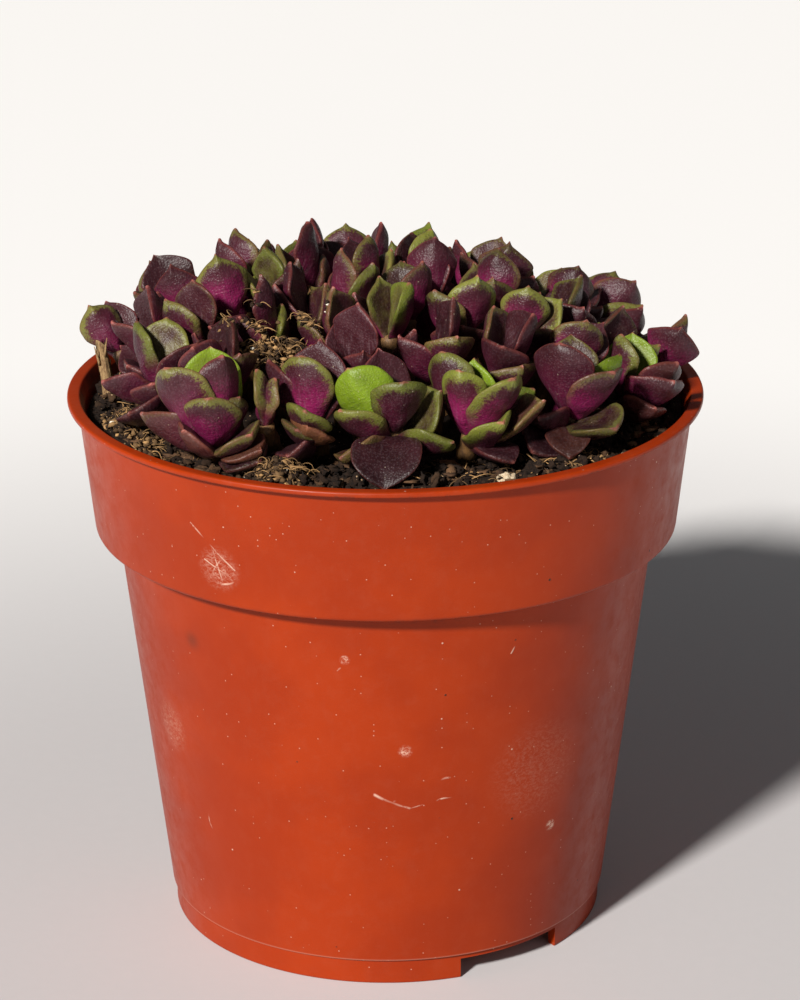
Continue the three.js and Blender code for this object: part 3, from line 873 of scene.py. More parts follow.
# Wear of the pot, with dirt and painted shade under the lip and collar and a painted highlight along the
# foot: noise, and the change taken from it. The rest is in millimetres.
WEAR = {
    "duller": ((0.06, 3.0, 0.6), (0.35, 0.65)),
    "film": ((0.5, 6.0, 0.75), (0.44, 0.78)),
    "runs": ((0.9, 4.0, 0.7), (0.5, 0.8)),
    "ragged": ((1.7, 6.0, 0.8, 0.6), (0.42, 0.68)),
    "dirt_and_painted_shade": ((0.7, 5.0, 0.7), (0.48, 0.7)),
    "rough": ((0.35, 4.0, 0.6), (0.3, 0.7, 0.33, 0.46)),
    "uneven": (1.1, 3.0, 0.6),
    "full_scuff": 0.35,
    # Reach of the dirt and painted shade under the collar and under the lip.
    "collar_dirt_and_painted_shade": 1.3,
    "lip_dirt_and_painted_shade": 0.5,
    # Reach of the painted highlight along the edge of the foot.
    "painted_foot_highlight": 0.35,
    "depth": 0.06,
    "bump_strength": 0.7,
}
# How much of the plastic each mark hides.
COVER = {
    "scratches": 0.75,
    "pale_specks": 0.6,
    "fine_specks": 0.4,
    "stain": 0.42,
    # Dirt with painted shade under the lip and the collar.
    "dirt_and_painted_shade": 0.7,
    # The painted highlight along the edge of the foot.
    "painted_foot_highlight": 0.22,
}


def new_finish(name, **sockets):
    """A material with a Principled BSDF, whose plain numbers are set on its own sockets."""
    material = bpy.data.materials.new(name)
    material.use_nodes = True
    tree = material.node_tree
    tree.nodes.clear()
    shader = add(tree, "ShaderNodeBsdfPrincipled")
    feed(add(tree, "ShaderNodeOutputMaterial").inputs[0], Wire(shader.outputs[0]))
    for socket, value in sockets.items():
        shader.inputs[socket.replace("_", " ")].default_value = value
    return material, tree, shader


def bump(shader, height, depth, strength=1.0):
    inputs = {"Strength": strength, "Distance": depth, "Height": height}
    feed(shader.inputs["Normal"], Wire(add(height.tree, "ShaderNodeBump", inputs).outputs[0]))


def leaf_finish(look):
    """Leaf skin: maroon or magenta below and greener above, with a green band by the margin.

    The marks give each point its place on the leaf (across and along in millimetres, and whether it is
    on the upper face), its form (share of the length, distance from the margin, dryness) and its look
    (how green, how magenta, a number of the leaf's own).
    """
    material, tree, shader = new_finish(
        "leaf_skin", Subsurface_Weight=0.06, Subsurface_Scale=0.6 * MM, Specular_IOR_Level=0.27
    )
    shader.inputs["Subsurface Radius"].default_value = (1.0, 0.45, 0.2)
    across, length, face = parts_of(mark(tree, "leaf_place"))
    along, margin, dry = parts_of(mark(tree, "leaf_form"))
    green, flush, own = parts_of(mark(tree, "leaf_look"))
    skin = place_in_mm(tree)
    mottle = cloud(skin, *SKIN["mottle"])
    fine = cloud(skin, *SKIN["fine"])
    stippled = fine - 0.5

    # Lower face: magenta at the foot, maroon and then brown towards the tip.
    reach = along - 0.25 + mottle * 0.5 + stippled * 0.5 + flush * -0.22
    lower = blend(between(along, *SKIN["darker_tip"]), look.maroon, look.dark)
    lower = blend(between(reach, *SKIN["magenta_foot"]) * flush, lower, look.magenta)
    # Upper face: dark, or olive where the leaf is green.
    greener = mottle * 0.7 - 0.55 + green * 1.3
    upper = blend(between(greener, *SKIN["olive_upper"]), look.dark, look.olive)
    colour = blend(between(face, *SKIN["upper_face"]), lower, upper)

    # The green band, wider on greener leaves, and whole leaves of green.
    wavy = margin - 0.8 + mottle * 1.6 + stippled * 2.2
    band = between(fading(wavy, green * 2.6 + 0.15), *SKIN["band"])
    band = band * between(along, *SKIN["band_along"]) * between(green, *SKIN["band_by_green"])
    whole = between(green, *SKIN["green_leaf"]) * between(along, *SKIN["green_leaf_along"])
    leafy = blend(between(green, *SKIN["lime_by_green"]), look.olive, look.lime)
    colour = blend(larger(band, whole), colour, leafy)

    # A reddish edge and tip on the dark leaves.
    edge = between(margin, *SKIN["edge"]) * between(green, *SKIN["edge_by_green"])
    colour = blend(edge, colour, look.edge)
    colour = blend(between(along, *SKIN["tip"]), colour, look.tip)

    # Fine stripes along the leaf, paler near the foot, tone that differs from leaf to leaf, and painted
    # shade that darkens the leaves lower down the mound.
    stripes = cloud(combined(across * 2.6, length * 0.35, own * 50.0), *SKIN["stripes"])
    pale = between(stripes, *SKIN["pale_stripes"]) * between(along, *SKIN["pale_along"])
    colour = blend(pale, colour, look.bloom)
    tone_and_painted_shade = mottle * 0.9 + (own * 0.5 + 0.22)
    # Painted shade: the leaves lower down the mound are darkened.
    tone_and_painted_shade = tone_and_painted_shade * between(parts_of(skin)[2], *SKIN["painted_shade_by_height"])
    colour = Wire(add(tree, "ShaderNodeHueSaturation", {"Value": tone_and_painted_shade, "Color": colour}).outputs[0])

    # Tiny pimples all over, and grains of dust.
    inputs = {"Vector": skin, "Scale": SKIN["pimples_per_mm"], "Smoothness": 0.4}
    pimples = add(tree, "ShaderNodeTexVoronoi", inputs, feature="SMOOTH_F1").outputs["Distance"]
    pimple = between(Wire(pimples), *SKIN["pimple"])
    colour = blend(pimple * 0.06, colour, look.bloom)
    dust = use("Specks", skin, **SPECKS["leaf_dust"])["Mask"]
    colour = blend(dust * 0.55, colour, look.grit)

    # Dry leaves turn to brown paper.
    husk = blend(stripes, look.husk_dark, look.husk)
    colour = blend(dry * between(mottle, *SKIN["husk"]), colour, husk)
    feed(shader.inputs["Base Color"], colour)
    feed(shader.inputs["Roughness"], between(fine, *SKIN["roughness"]))

    # Wrinkles run along the leaf, and across it near the foot.
    creases = cloud(combined(across * 0.55, length * 1.7, own * 90.0), *SKIN["creases"])
    relief = pimple * 0.25 + fine * 0.55 + mottle * 0.8
    relief = relief + stripes * between(along, *SKIN["stripe_relief"])
    relief = relief + creases * between(along, *SKIN["crease_relief"])
    bump(shader, relief, look.wrinkle_depth)
    return material


def stem_finish(look):
    """Brown stems, streaked along their length."""
    material, tree, shader = new_finish("leafy_stem", Roughness=0.6)
    skin = vectors("MULTIPLY", place_in_mm(tree), (1, 1, 0.35))
    grain = use("Grain", skin, grain=0.8, dark=look.stem_dark, light=look.stem)
    feed(shader.inputs["Base Color"], grain["Color"])
    bump(shader, grain["Height"], 0.12 * MM)
    return material


def grain_finish(name, dark, light, grain, depth, rough, stretch=(1, 1, 1), bright=None, specks=None):
    """Peat, bark, straw and grit: grain between two colours, brighter where it is marked pale.

    grain and depth are in millimetres, and stretch thins the grain along each axis.
    """
    material, tree, shader = new_finish(name, Roughness=rough, Specular_IOR_Level=0.3)
    skin = vectors("MULTIPLY", place_in_mm(tree), stretch)
    made = use("Grain", skin, grain=grain, dark=dark, light=light)
    pale = parts_of(mark(tree, "pale"))[0]
    colour = blend(pale, made["Color"], bright or light)
    if specks:
        mask = use("Specks", skin, **SPECKS["husks"])["Mask"]
        colour = blend(mask, colour, specks)
    feed(shader.inputs["Base Color"], colour)
    bump(shader, made["Height"], depth * MM)
    return material


# Scratches on the pot as (start, end, width, wander), scuffed patches as (middle, radius, strength),
# and a stain as (middle, radius).
SCRATCHES = (
    ((-24.6, -31.9, 66.6), (-19.0, -35.1, 61.2), 0.17, 0.08),
    ((-22.6, -33.1, 59.4), (-19.8, -34.4, 63.6), 0.2, 0.08),
    ((-22.9, -32.8, 61.8), (-19.6, -34.6, 60.2), 0.15, 0.1),
    ((-21.9, -33.4, 58.4), (-19.2, -34.7, 59.6), 0.17, 0.15),
    ((-21.6, -33.6, 63.4), (-20.4, -34.2, 58.2), 0.13, 0.12),
    ((-1.6, -33.0, 29.3), (3.0, -32.6, 27.2), 0.26, 0.15),
    ((3.0, -32.6, 27.2), (8.6, -32.0, 28.2), 0.16, 0.2),
    ((1.0, -32.9, 28.6), (8.4, -32.1, 31.2), 0.26, 0.3),
    ((-24.2, -21.1, 22.6), (-21.4, -22.9, 15.4), 0.16, 0.25),
    ((-22.4, -22.4, 13.4), (-20.6, -23.6, 13.2), 0.18, 0.2),
    ((-6.4, -34.9, 46.8), (-2.6, -35.1, 49.6), 0.12, 0.3),
    ((16.0, -31.3, 48.5), (17.6, -30.6, 51.5), 0.12, 0.2),
)
SCUFFS = (
    ((-21.1, -33.8, 60.9), 3.6, 0.5),
    ((-5.2, -35.1, 48.9), 0.8, 1.7),
    ((2.5, -33.8, 35.6), 1.1, 1.1),
    ((21.7, -23.5, 20.4), 0.95, 1.9),
    ((-28.2, -17.0, 32.4), 4.5, 0.3),
    ((20.0, -26.6, 30.0), 9.0, 0.14),
)
STAIN = ((-25.2, -24.7, 47.5), 1.9)


def pot_finish(look):
    """Moulded plastic with a thin film of dust, grains of soil, scratches and scuffs, dirt and painted
    shade under the lip and the collar, and a painted highlight along the foot.
    """
    material, tree, shader = new_finish("worn_plastic", Specular_IOR_Level=0.2)
    skin = place_in_mm(tree)
    height = parts_of(skin)[2]
    colour = blend(patches(skin, *WEAR["duller"]), look.colour, look.colour_deep)

    # Dust: a patchy film that has run down.
    runs = patches(vectors("MULTIPLY", skin, (1, 1, 0.25)), *WEAR["runs"])
    film = patches(skin, *WEAR["film"]) + runs * 0.4
    colour = blend(film * look.dust, colour, look.dust_colour)

    ragged = patches(vectors("MULTIPLY", skin, (1, 1, 1.6)), *WEAR["ragged"])
    scuffed = scratched = 0.0
    for middle, radius, strength in SCUFFS:
        full = radius * WEAR["full_scuff"]
        close = between(vectors("DISTANCE", skin, middle), full, radius, 1.0, 0.0)
        scuffed = close * ragged * strength + scuffed
    for start, end, wide, wander in SCRATCHES:
        made = use("Stroke", skin, start=start, end=end, wide=wide, wander=wander)
        scratched = larger(made["Mask"], scratched)
    whitened = larger(scratched, scuffed, clamp=True)
    colour = blend(whitened * COVER["scratches"], colour, look.scratch_and_painted_highlight_colour)

    # Pale nicks, grains of soil and one dark stain.
    pale = use("Specks", skin, **SPECKS["pale"])["Mask"]
    colour = blend(pale * COVER["pale_specks"], colour, look.scratch_and_painted_highlight_colour)
    fine = use("Specks", skin, **SPECKS["fine"])["Mask"]
    colour = blend(fine * COVER["fine_specks"], colour, look.scratch_and_painted_highlight_colour)
    dark = use("Specks", vectors("ADD", skin, (7, 3, 5)), **SPECKS["dark"])["Mask"]
    stain_middle, stain_radius = STAIN
    off = vectors("DISTANCE", skin, stain_middle)
    stain = between(off, 0.0, stain_radius, COVER["stain"], 0.0)
    colour = blend(larger(dark, stain), colour, look.soil_and_painted_shade_colour)

    # Soil dirt gathers under the lip and under the collar, and there the plastic is darkened further as
    # painted shade where the lip and collar overhang.
    under_collar = near_height(height, POT["collar_foot_height"] - 0.5, WEAR["collar_dirt_and_painted_shade"])
    under_lip = near_height(height, POT["height"] - POT["lip_thickness"], WEAR["lip_dirt_and_painted_shade"])
    dirt_and_painted_shade = larger(under_collar, under_lip) * patches(skin, *WEAR["dirt_and_painted_shade"])
    colour = blend(dirt_and_painted_shade * COVER["dirt_and_painted_shade"], colour, look.soil_and_painted_shade_colour)
    # A painted highlight lightens the edge where the foot meets the body.
    painted_foot_highlight = near_height(height, POT["foot_height"], WEAR["painted_foot_highlight"])
    colour = blend(painted_foot_highlight * COVER["painted_foot_highlight"], colour, look.scratch_and_painted_highlight_colour)
    feed(shader.inputs["Base Color"], colour)

    rough = patches(skin, *WEAR["rough"]) + film * 0.16 + whitened * 0.2
    feed(shader.inputs["Roughness"], rough)
    relief = cloud(skin, *WEAR["uneven"]) * 0.25 + scratched + dark * 2.0 + pale * 0.8
    bump(shader, relief, WEAR["depth"] * MM, WEAR["bump_strength"])
    return material


def near_height(height, level, reach):
    """1 at this level, and nothing at reach above or below it."""
    return between(arithmetic("ABSOLUTE", height - level), 0.0, reach, 1.0, 0.0)


# ---------------------------------------------------------------- pot

POT_SIDES = 256
DRAIN_SIDES = 40
SHARP_ANGLE = 38


def rounded(corners, steps=5):
    """A profile of (radius, height) with each corner rounded off by its own radius."""
    points = []
    for i, (r, z, fillet) in enumerate(corners):
        here = np.array((r, z), float)
        if not fillet:
            points.append(tuple(here))
            continue
        before = np.array(corners[i - 1][:2], float)
        after = np.array(corners[(i + 1) % len(corners)][:2], float)
        back, ahead = unit(before - here), unit(after - here)
        half = math.acos(float(np.clip(np.dot(back, ahead), -1, 1))) / 2
        reach = fillet / math.tan(half)
        start, end = here + back * reach, here + ahead * reach
        for step in range(steps + 1):
            share = step / steps
            near = start * (1 - share) ** 2 + here * 2 * share * (1 - share) + end * share**2
            points.append(tuple(near))
    return points


def turned_piece(name, profile, sides, material):
    """A closed turned form. The profile starts and ends on the axis."""
    heap = Heap()
    inner = profile[1:-1]
    angles = np.linspace(0, 2 * np.pi, sides, endpoint=False)
    points = [(r * math.cos(a), r * math.sin(a), z) for r, z in inner for a in angles]
    first, last = len(points), len(points) + 1
    points += [(0, 0, profile[0][1]), (0, 0, profile[-1][1])]
    faces = tube_faces(len(inner), sides, cap_foot=False, cap_top=False)
    for i in range(sides):
        after = (i + 1) % sides
        faces.append([first, after, i])
        faces.append([last, (len(inner) - 1) * sides + i, (len(inner) - 1) * sides + after])
    heap.add(np.array(points), faces)
    return heap.piece(name, [material])


def cut_away(piece, cutters):
    """Cuts the cutters out of the piece and deletes them."""
    for cutter in cutters:
        boolean = piece.modifiers.new("cut", "BOOLEAN")
        boolean.operation = "DIFFERENCE"
        boolean.solver = "EXACT"
        boolean.object = cutter
    evaluated = piece.evaluated_get(bpy.context.evaluated_depsgraph_get())
    mesh = bpy.data.meshes.new_from_object(evaluated)
    piece.modifiers.clear()
    piece.data = mesh
    for cutter in cutters:
        bpy.data.objects.remove(cutter)


def pot_profile(pot):
    """From the middle of the underside, down the foot, up the outside, over the lip and down inside."""
    wall, height, foot = POT["wall"], POT["height"], POT["foot_height"]
    shelf = POT["collar_foot_height"] + wall
    lip = height - POT["lip_thickness"]
    edge = pot.edge_radius / MM
    inside_foot = POT["foot_radius"] - POT["foot_width"]
    return rounded(
        [
            (0, foot, 0),
            (inside_foot, foot, 0),
            (inside_foot, 0, edge),
            (POT["foot_radius"], 0, edge),
            (POT["foot_radius"], foot, 0.1),
            (POT["body_foot_radius"], foot, 0.18),
            (POT["body_top_radius"], POT["collar_foot_height"], edge),
            (POT["collar_foot_radius"], POT["collar_foot_height"], 0.7),
            (POT["collar_top_radius"], lip, 0.12),
            (POT["lip_radius"], lip, 0.26),
            (POT["lip_radius"], height, 0.4),
            (POT["lip_inner_radius"], height, 0.4),
            (POT["collar_top_radius"] - wall, height - 2 * POT["lip_thickness"], 0.6),
            (POT["collar_foot_radius"] - wall, shelf, edge),
            (POT["body_top_radius"] - wall, shelf, edge),
            (POT["body_foot_radius"] - wall, foot + wall, 1),
            (0, foot + wall, 0),
        ]
    )


def make_pot(pot):
    """The pot's shell, with its gates and drain holes cut out."""
    piece = turned_piece("pot_shell", pot_profile(pot), POT_SIDES, pot_finish(pot))
    cutters = []
    wide = 2 * POT["foot_radius"] * math.sin(math.radians(NOTCH["width"] / 2))
    for angle in NOTCH["angles"]:
        bpy.ops.mesh.primitive_cube_add(size=1)
        gate = bpy.context.object
        size = (2 * POT["foot_radius"], wide, NOTCH["height"] + 1)
        middle = Matrix.Translation((POT["foot_radius"] * MM, 0, (NOTCH["height"] - 1) / 2 * MM))
        scale = Matrix.Diagonal((*(side * MM for side in size), 1))
        gate.data.transform(Matrix.Rotation(math.radians(angle), 4, "Z") @ middle @ scale)
        cutters.append(gate)
    for i in range(DRAIN["count"]):
        bpy.ops.mesh.primitive_cylinder_add(
            vertices=DRAIN_SIDES, radius=DRAIN["radius"] * MM, depth=4 * POT["wall"] * MM
        )
        hole = bpy.context.object
        middle = Matrix.Translation((DRAIN["ring"] * MM, 0, POT["foot_height"] * MM))
        hole.data.transform(Matrix.Rotation(2 * math.pi * i / DRAIN["count"], 4, "Z") @ middle)
        cutters.append(hole)
    cut_away(piece, cutters)
    piece.data.shade_smooth()
    piece.data.set_sharp_from_angle(angle=math.radians(SHARP_ANGLE))
    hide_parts("pot")
    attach(piece, "root")


# ---------------------------------------------------------------- leaves and stems

LEAF_RINGS = 30
LEAF_AROUND = 28
LEAF_SHAPE = {
    "rings_power": 1.55,
    "last_ring": 0.9995,
    "tip_power": 2.4,
    "thin_edge": 0.2,
    "thick_to_half": 1.1,
    "margin_power": 7,
    "hollow": 0.22,
    "least_ridge": 0.35,
    "more_ridge": 0.6,
    "ridge_power": 1.15,
    "keel_ends": (0.8, 0.6),
    "point_width": 0.36,
    "point_from": 0.92,
    "least_point": 0.35,
    "tip_margin": 0.9,
}
# Waves as (depth, how often along the leaf, how its own number shifts them). The last two also
# change with the side of the leaf, or across it.
MARGIN_WAVES = ((0.03, 8.2, 1), (0.018, 19, 3))
EDGE_WAVE = (0.14, 7.5, 5, 2.1)
FACE_WAVE = (0.07, 15, 7, 4)
STEM_SHAPE = {
    "sunk": 2.5,
    "thinner": 0.92,
    "ridge_share": 0.07,
    "ridges_per_mm": 2.4,
    "end_share": 0.55,
    "rings": 22,
    "around": 12,
}


def leaf_thickness(leaf, leaves, along, half):
    """Half the thickness in the middle of the leaf: thinner at the foot and round at the tip."""
    foot = LEAF["foot_thickness"]
    thick = foot + (1 - foot) * np.minimum(1, along / LEAF["thick_from"])
    thick = leaves.thickness / MM / 2 * (thick - LEAF["thinning"] * along**2)
    tip_from = 1 - leaves.tip_round / MM / leaf.length
    to_tip = np.clip((along - tip_from) / (1 - tip_from), 0, 1)
    thick *= np.sqrt(np.maximum(0, 1 - to_tip ** LEAF_SHAPE["tip_power"]))
    return np.minimum(thick, LEAF_SHAPE["thin_edge"] + LEAF_SHAPE["thick_to_half"] * half)


def leaf_rise(leaf, leaves, own, along, across, face, half):
    """How far each point is off the leaf's middle: blunt margins, a keel below, and gentle waves."""
    thick = leaf_thickness(leaf, leaves, along, half)
    width = np.abs(across)
    rim = np.sqrt(np.maximum(0, 1 - width ** LEAF_SHAPE["margin_power"]))
    body = thick * (1 - leaves.margin_thinning * width**2) * rim
    sharp = LEAF_SHAPE["least_ridge"] + LEAF_SHAPE["more_ridge"] * own
    ridge = sharp * (1 - width) ** LEAF_SHAPE["ridge_power"] + (1 - sharp) * (1 - width**2)
    inner, outer = LEAF_SHAPE["keel_ends"]
    keel = leaves.keel / MM * ridge * np.sin(np.pi * np.clip(along, 0, 1) ** inner) ** outer
    above = body - LEAF_SHAPE["hollow"] * thick * (1 - width**2)
    rise = np.where(face >= 0, above, -body - keel * np.minimum(1, 2 * half))
    phase = 2 * np.pi * own
    deep, often, shift, by_side = EDGE_WAVE
    rise = rise + deep * width**2 * np.sin(often * along + shift * phase + by_side * np.sign(across))
    deep, often, shift, by_width = FACE_WAVE
    return rise + deep * np.sin(often * along + by_width * across + shift * phase)


def leaf_shape(leaf, leaves, own):
    """Points of a leaf, which ends in a small point, and its marks. own is a number of its own."""
    share = np.linspace(0, 1, LEAF_RINGS + 1)
    along = 1 - (1 - share) ** LEAF_SHAPE["rings_power"]
    along[-1] = LEAF_SHAPE["last_ring"]
    angle = np.linspace(0, 2 * np.pi, LEAF_AROUND, endpoint=False)
    along, angle = np.meshgrid(along, angle, indexing="ij")
    along, angle = along.ravel(), angle.ravel()
    across, face = np.cos(angle), np.sin(angle)
    half = leaf.width / 2 * leaf.outline(along)
    rise = leaf_rise(leaf, leaves, own, along, across, face, half)

    phase = 2 * np.pi * own
    waves = sum(deep * np.sin(often * along + shift * phase) for deep, often, shift in MARGIN_WAVES)
    from_middle = np.abs(across) * half
    least, start = LEAF_SHAPE["least_point"], LEAF_SHAPE["point_from"]
    mucro = leaves.point_length / MM * (least + (1 - least) * leaf.point)
    narrow = np.exp(-((from_middle / LEAF_SHAPE["point_width"]) ** 2))
    point = mucro * narrow * np.clip((along - start) / (1 - start), 0, 1) ** 2
    places = leaf.place(along, across * (1 + waves), rise, point)

    to_tip = (1 - along) * leaf.length * LEAF_SHAPE["tip_margin"]
    margin = np.minimum((1 - np.abs(across)) * half, to_tip)
    marks = {
        "leaf_place": np.stack([across * half, along * leaf.length, face], axis=1),
        "leaf_form": np.stack([along, margin, np.full_like(along, leaf.dry)], axis=1),
        "leaf_look": np.stack([np.full_like(along, v) for v in (leaf.green, leaf.flush, own)], axis=1),
    }
    return places, marks


def stem_shape(shoot, chance):
    """A stem with the ridges that fallen leaves left, from just under the soil to the crown."""
    rings, around = STEM_SHAPE["rings"], STEM_SHAPE["around"]
    top = shoot.crown + shoot.axis * STEM["above"]
    long = np.linalg.norm(top - shoot.foot)
    share = np.linspace((STEM["foot_depth"] - STEM_SHAPE["sunk"]) / long, 1, rings)
    path = shoot.foot + (top - shoot.foot) * share[:, None]
    radii = STEM["foot_radius"] + (STEM["crown_radius"] - STEM["foot_radius"]) * share
    ridges = np.sin(share * long * STEM_SHAPE["ridges_per_mm"] + chance.uniform(0, 6))
    radii = radii * STEM_SHAPE["thinner"] * (1 + STEM_SHAPE["ridge_share"] * ridges)
    radii[-1] *= STEM_SHAPE["end_share"]
    return tube(path, radii, around), tube_faces(rings, around)


def make_shoots(leaves):
    """Each shoot's stem and leaves, as one piece."""
    skin = leaf_finish(leaves)
    bark = stem_finish(leaves)
    faces = tube_faces(LEAF_RINGS + 1, LEAF_AROUND)
    chance = random.Random(5)
    for name, shoot in SHOOTS.items():
        heap = Heap("leaf_place", "leaf_form", "leaf_look")
        for leaf in shoot.leaves:
            places, marks = leaf_shape(leaf, leaves, chance.random())
            heap.add(places, faces, 0, **marks)
        heap.add(*stem_shape(shoot, chance), 1)
        piece = heap.piece(f"{name}_leaves", [skin, bark])
        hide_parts(name)
        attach(piece, "root")


# ---------------------------------------------------------------- soil and what lies on it

SOIL_AROUND = 260
SOIL_RINGS = 90
LUMPS = {"scale": 0.8, "fall": 0.7, "finer": 2.1, "octaves": 5}
SOIL_FALL = 0.5
CRUMB_FORMS = 6
# How far the faces of each are pushed in and out, and how many lumps there are in its radius.
LUMPY = {
    "crumb": (1.6, 2.1),
    "chip": (0.9, 1.6),
    "pile": (1.1, 1.7),
    "perlite": (0.5, 1.4),
    "pits": (0.18, 5.0),
}
# Crumbs on the soil: the smallest, how much larger they get, and how rare the large ones are.
CRUMB = {
    "least": 0.13,
    "larger": 0.75,
    "rarity": 5,
    "few_faces_below": 0.35,
    "area": (0.35, 1),
    "from_edge": 0.7,
    "lift": 0.5,
    "pale_rarity": 6,
}
# Chips of bark, which lie within a radius and between two shares of its area.
CHIP = {
    "radius": 38,
    "area": (0.45, 0.98),
    "long": (0.7, 2.2),
    "wide": (0.35, 0.9),
    "thick": (0.2, 0.5),
    "tilt": 0.7,
    "lift": (0.2, 0.7),
}
FIBRE = {
    "points": 8,
    "around": 5,
    "radius": 37.5,
    "area": (0.5, 0.98),
    "step": 0.5,
    "short_step": 0.32,
    "curl": 0.6,
    "bow": (0.2, 0.8),
    "bow_turn": 0.45,
    "radii": (0.08, 0.03),
}
# Crumbs of the piles. Those above bright_from are grains of perlite.
PILE_CRUMB = {"least": 0.16, "larger": 0.42, "flat": (1, 0.8, 0.6), "lift": 0.3, "bright_from": 0.985}
CRUMBS_PER_FIBRE = 5
# Piles and fibres stay within this radius, clear of the pot's wall.
LITTER_RADIUS = 38.8

# Piles of dry peat: the middle, the spread sideways and back, the height, and the share of the crumbs.
# Where leaves hold the pile up, held_at is its height there, and sag how deep it hangs between them.
PILES = {
    "peat_on_leaves": {
        "x": -14.2,
        "y": -14.4,
        "wide": 2.7,
        "deep": 1.0,
        "high": 1.5,
        "share": 1.3,
        "held_at": 84.0,
        "sag": 3.0,
    },
    "peat_at_front": {"x": -13.6, "y": -33.6, "wide": 2.0, "deep": 1.4, "high": 1.8, "share": 0.6},
    "peat_at_left": {"x": -33.0, "y": -16.5, "wide": 3.2, "deep": 4.6, "high": 1.9, "share": 1.3},
    "peat_at_right": {"x": 27.5, "y": -26.5, "wide": 3.6, "deep": 1.8, "high": 0.8, "share": 0.6},
}


def soil_edge(clear):
    """The radius of the soil's top, this far inside the pot's outside."""
    wider = POT["collar_top_radius"] - POT["collar_foot_radius"]
    slope = wider / (POT["height"] - POT["collar_foot_height"])
    return POT["collar_top_radius"] - clear - slope * (POT["height"] - SOIL["level"])


def make_soil(soil):
    """The body of soil, with a rough top, and crumbs of peat on it."""
    clear = POT["wall"] + GAP
    edge = soil_edge(clear)
    shelf = POT["collar_foot_height"] + clear
    below = [
        (POT["body_foot_radius"] - clear, POT["foot_height"] + clear),
        (POT["body_top_radius"] - clear, shelf),
        (POT["collar_foot_radius"] - clear, shelf),
        (edge, SOIL["level"] - SOIL_FALL),
    ]
    radii = [r for r, _ in below] + list(np.linspace(edge - 0.1, 0.2, SOIL_RINGS))
    heights = [z for _, z in below] + [SOIL["level"]] * SOIL_RINGS
    angles = np.linspace(0, 2 * np.pi, SOIL_AROUND, endpoint=False)
    radius, angle = np.meshgrid(radii, angles, indexing="ij")
    height = np.repeat(heights, SOIL_AROUND).reshape(radius.shape)
    points = np.stack([radius * np.cos(angle), radius * np.sin(angle), height], axis=2)
    points = points.reshape(-1, 3)
    top = np.arange(len(points)) >= len(below) * SOIL_AROUND
    points[top, 2] = soil_height(points[top, 0], points[top, 1])
    way = (LUMPS["fall"], LUMPS["finer"], LUMPS["octaves"])
    rough = [noise.fractal(Vector(p) * LUMPS["scale"], *way) for p in points[top]]
    points[top, 2] += soil.roughness / MM * np.array(rough)
    heap = Heap()
    heap.add(points, tube_faces(len(radii), SOIL_AROUND))
    look = {"grain": 0.28, "depth": 0.3, "rough": 0.92, "bright": soil.bark, "specks": soil.husk}
    peat = grain_finish("peat", soil.peat_dark, soil.peat, **look)
    piece = heap.piece("soil_body", [peat])
    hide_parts("soil")
    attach(piece, "root")
    crumbs = soil_crumbs(soil.crumbs, edge - CRUMB["from_edge"])
    finished(crumbs.piece("soil_crumbs", [peat]))


def soil_crumbs(count, radius):
    """Lumpy crumbs of many sizes, more of them small. The large ones have more faces."""
    chance = random.Random(11)
    shapes = [stone_shape(1), stone_shape(2)]
    seeds = range(3, 3 + CRUMB_FORMS)
    forms = [(lumpy(form, seed, *LUMPY["crumb"]), faces) for form, faces in shapes for seed in seeds]
    crumbs = Heap("pale")
    for _ in range(count):
        x, y = scattered(chance, radius, *CRUMB["area"])
        size = CRUMB["least"] + CRUMB["larger"] * chance.random() ** CRUMB["rarity"]
        more_faces = CRUMB_FORMS if size >= CRUMB["few_faces_below"] else 0
        form, faces = forms[chance.randrange(CRUMB_FORMS) + more_faces]
        flat = np.array([1, chance.uniform(0.55, 1), chance.uniform(0.4, 0.9)])
        points = turned(form * size * flat, chance)
        z = float(soil_height(x, y)) + chance.uniform(0.0, CRUMB["lift"]) + 0.5 * size
        pale = chance.random() ** CRUMB["pale_rarity"]
        crumbs.add(points + (x, y, z), faces, pale=(pale, 0, 0))
    return crumbs


def scattered(chance, radius, least, most):
    """A random place in a circle, between these shares of its area."""
    out = radius * math.sqrt(chance.uniform(least, most))
    turn = chance.uniform(0, 2 * math.pi)
    return out * math.cos(turn), out * math.sin(turn)


def make_litter(soil):
    """Bark and fibres on the soil, and piles of dry peat on the soil and on the leaves."""
    chance = random.Random(23)
    look = {"grain": 0.7, "depth": 0.2, "rough": 0.85, "stretch": (0.4, 1, 1)}
    bark = grain_finish("bark", soil.bark_dark, soil.bark, **look)
    look = {"grain": 0.3, "depth": 0.15, "rough": 0.85, "bright": soil.dry_peat}
    dry = grain_finish("dry_peat", soil.peat_dark, soil.peat, **look)
    grit = bpy.data.materials["perlite"]
    finished(bark_chips(soil.chips, chance).piece("bark_chips", [bark]))
    finished(loose_fibres(soil.fibres, chance).piece("fibres", [dry]))
    below = leaf_tree()
    for name, place in PILES.items():
        finished(pile_of_peat(soil.clump, chance, below, **place).piece(name, [dry, grit]))


def bark_chips(count, chance):
    """Flat chips of bark on the outer soil, lying nearly level."""
    chips = Heap("pale")
    form, faces = stone_shape(2)
    for i in range(count):
        x, y = scattered(chance, CHIP["radius"], *CHIP["area"])
        size = np.array([chance.uniform(*CHIP[side]) for side in ("long", "wide", "thick")])
        points = lumpy(form, i, *LUMPY["chip"]) * size
        points = turned(points, chance, -CHIP["tilt"], CHIP["tilt"])
        z = float(soil_height(x, y)) + chance.uniform(*CHIP["lift"])
        chips.add(points + (x, y, z), faces, pale=(chance.random() ** 2, 0, 0))
    return chips


def loose_fibres(count, chance):
    """Fibres that lie loose on the outer soil."""
    fibres = Heap("pale")
    for _ in range(count):
        x, y = scattered(chance, FIBRE["radius"], *FIBRE["area"])
        add_fibre(fibres, chance, x, y, float(soil_height(x, y)) + 0.3, FIBRE["step"])
    return fibres


